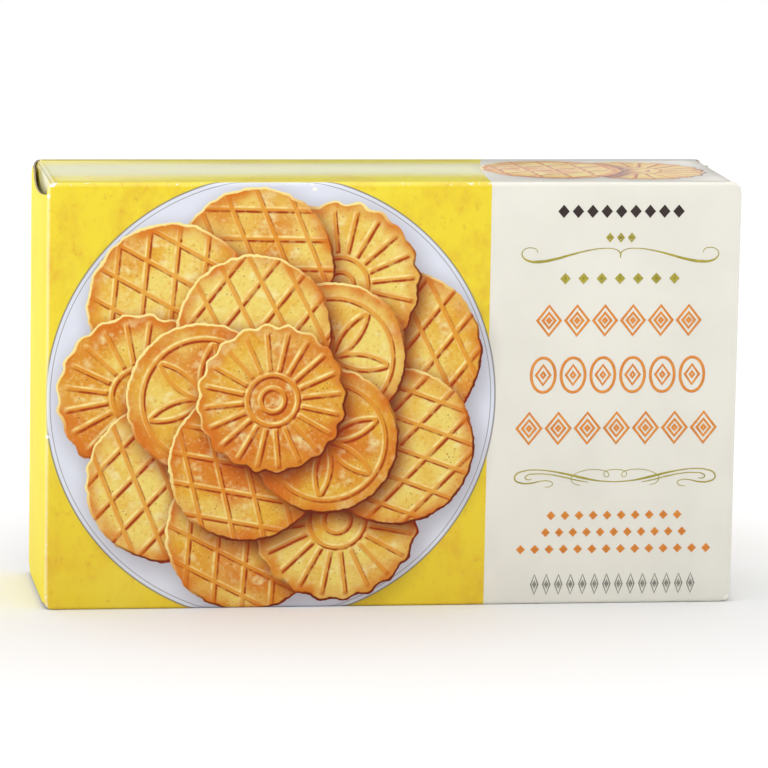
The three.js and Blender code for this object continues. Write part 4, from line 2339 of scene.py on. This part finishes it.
@dataclass(frozen=True)
class Studio:
    """Pale floor, soft light and a camera at the photograph's angle."""

    azimuth: float = math.radians(-8.55)
    elevation: float = math.radians(9.3)
    roll: float = math.radians(1.02)
    distance: float = 1.6
    lens: float = 249.8
    sensor: float = 36.0
    clip_end: float = 50.0
    floor_size: float = 30.0
    floor_white: float = 0.85
    floor_roughness: float = 0.9
    floor_specular: float = 0.1
    footprint: tuple[float, float] = (103.0 * MM, 29.0 * MM)
    # Reach and strength of the floor's glow, which is painted light, dimmer near the carton as a painted
    # contact shadow.
    contact_shadow_run: float = 0.2
    painted_glow: float = 0.2

    TARGET = (1.2 * MM, 0.0, 62.0 * MM)
    SKY = (0.15, 0.6, 0.08, 1.06)
    WHITE = (1.0, 1.0, 1.0, 1.0)
    LAMPS = (
        Lamp("key", (0.0, -0.48, 0.48), (0.9, 0.22), 0.19, (0.0, -0.03, 0.165), 40.0),
        Lamp("overhead", (0.0, 0.1, 1.2), (1.4, 0.8), 1.5, (0.0, 0.1, 0.0)),
        Lamp("side", (-0.8, -0.1, 0.2), (0.3, 0.3), 1.45, TARGET),
        Lamp("strip", (0.3, 2.0, 0.375), (2.0, 0.09), 0.48, TARGET),
    )

    def build(self) -> None:
        """Set up the whole stage."""
        self.camera()
        self.floor()
        self.world()
        for lamp in self.LAMPS:
            lamp.hang()
        bpy.context.scene.view_settings.view_transform = "Standard"

    def camera(self) -> None:
        """Place a long lens in front of the carton, a little to its left and above it."""
        flat, rise = math.cos(self.elevation), math.sin(self.elevation)
        back = Vector((math.sin(self.azimuth) * flat, -math.cos(self.azimuth) * flat, rise))
        right = Vector((math.cos(self.azimuth), math.sin(self.azimuth), 0.0))
        up = back.cross(right)
        turned_right = right * math.cos(self.roll) + up * math.sin(self.roll)
        turned_up = up * math.cos(self.roll) - right * math.sin(self.roll)
        data = bpy.data.cameras.new("camera")
        data.lens = self.lens
        data.sensor_width = self.sensor
        data.clip_end = self.clip_end
        camera = put("camera", data)
        axes = Matrix((turned_right, turned_up, back)).transposed()
        camera.matrix_world = Matrix.Translation(Vector(self.TARGET) + back * self.distance) @ axes.to_4x4()
        bpy.context.scene.camera = camera

    def floor(self) -> None:
        """Lay a wide pale floor that glows as painted light, and glows less beside the carton, which paints
        a soft contact shadow there.
        """
        bpy.ops.mesh.primitive_plane_add(size=self.floor_size, location=(0.0, 0.0, 0.0))
        floor = bpy.context.object
        floor.name = "floor"
        material, graph, shader = new_finish("pale_floor")
        shader.inputs["Base Color"].default_value = (*[self.floor_white] * 3, 1.0)
        shader.inputs["Emission Color"].default_value = self.WHITE
        # Painted contact shadow: the floor's glow rises from nothing at the carton's footprint to full
        # strength further out.
        place = graph.vector("ABSOLUTE", graph.wire("ShaderNodeTexCoord", output="Object"))
        beside = graph.vector("SUBTRACT", place, (*self.footprint, 0.0))
        away = graph.vector("LENGTH", graph.vector("MAXIMUM", beside, (0.0, 0.0, 0.0)))
        graph.feed(shader.inputs["Emission Strength"], away.ease(0.0, self.contact_shadow_run, 0.0, self.painted_glow))
        shader.inputs["Roughness"].default_value = self.floor_roughness
        shader.inputs["Specular IOR Level"].default_value = self.floor_specular
        floor.data.materials.append(material)
        floor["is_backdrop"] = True

    def world(self) -> None:
        """Surround the carton with soft white light, which is dimmer low down."""
        world = bpy.data.worlds.new("studio")
        world.use_nodes = True
        world.node_tree.nodes.clear()
        graph = Graph(world.node_tree)
        up = graph.wire("ShaderNodeTexCoord", output="Generated").split()[2]
        light = {"Color": self.WHITE, "Strength": up.ease(*self.SKY)}
        graph.node("ShaderNodeOutputWorld", {"Surface": graph.wire("ShaderNodeBackground", light)})
        bpy.context.scene.world = world


def main() -> None:
    """Build the carton and its stage."""
    logging.basicConfig(level=logging.INFO, format="%(message)s")
    low, high = CAD_BOX
    sizes = CartonSizes(*(end - start for start, end in zip(low, high)))
    Studio().build()
    rounds = RoundPrint()
    board = GlossBoard(coat=0.15)
    top_board = GlossBoard(coat=0.75)
    materials = {
        Panel.FRONT: board.material("front_print", FrontPrint(sizes, rounds)),
        Panel.TOP: top_board.material("top_print", TopPrint(sizes, rounds)),
        Panel.BACK: board.material("back_print", BackPrint(sizes, rounds)),
        Panel.BOTTOM: board.material("bottom_print", BottomPrint(sizes, rounds)),
        Panel.BARE: BareBoard().material("bare_board"),
    }
    pillow = pillow_group()
    blank = Blank(sizes)
    folding = FoldingTree(sizes, pillow, materials)
    carton = settle(blank.build("blank_sheet"), "printed_carton", folding.build(), folding.values())
    carton.data.set_sharp_from_angle(angle=SHARP)
    BakeMap(blank).lay(carton)
    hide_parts(NODE)
    pieces = [carton, *Ornaments(OrnamentTrees(sizes, pillow)).build()]
    for piece in pieces:
        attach(piece, BODY)
        log.info("%s: %d faces", piece.name, len(piece.data.polygons))
    boxes = {"cad": CAD_BOX, "visual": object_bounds()}
    {name: [list(corner) for corner in box] for name, box in boxes.items()}


if __name__ == "__main__":
    main()
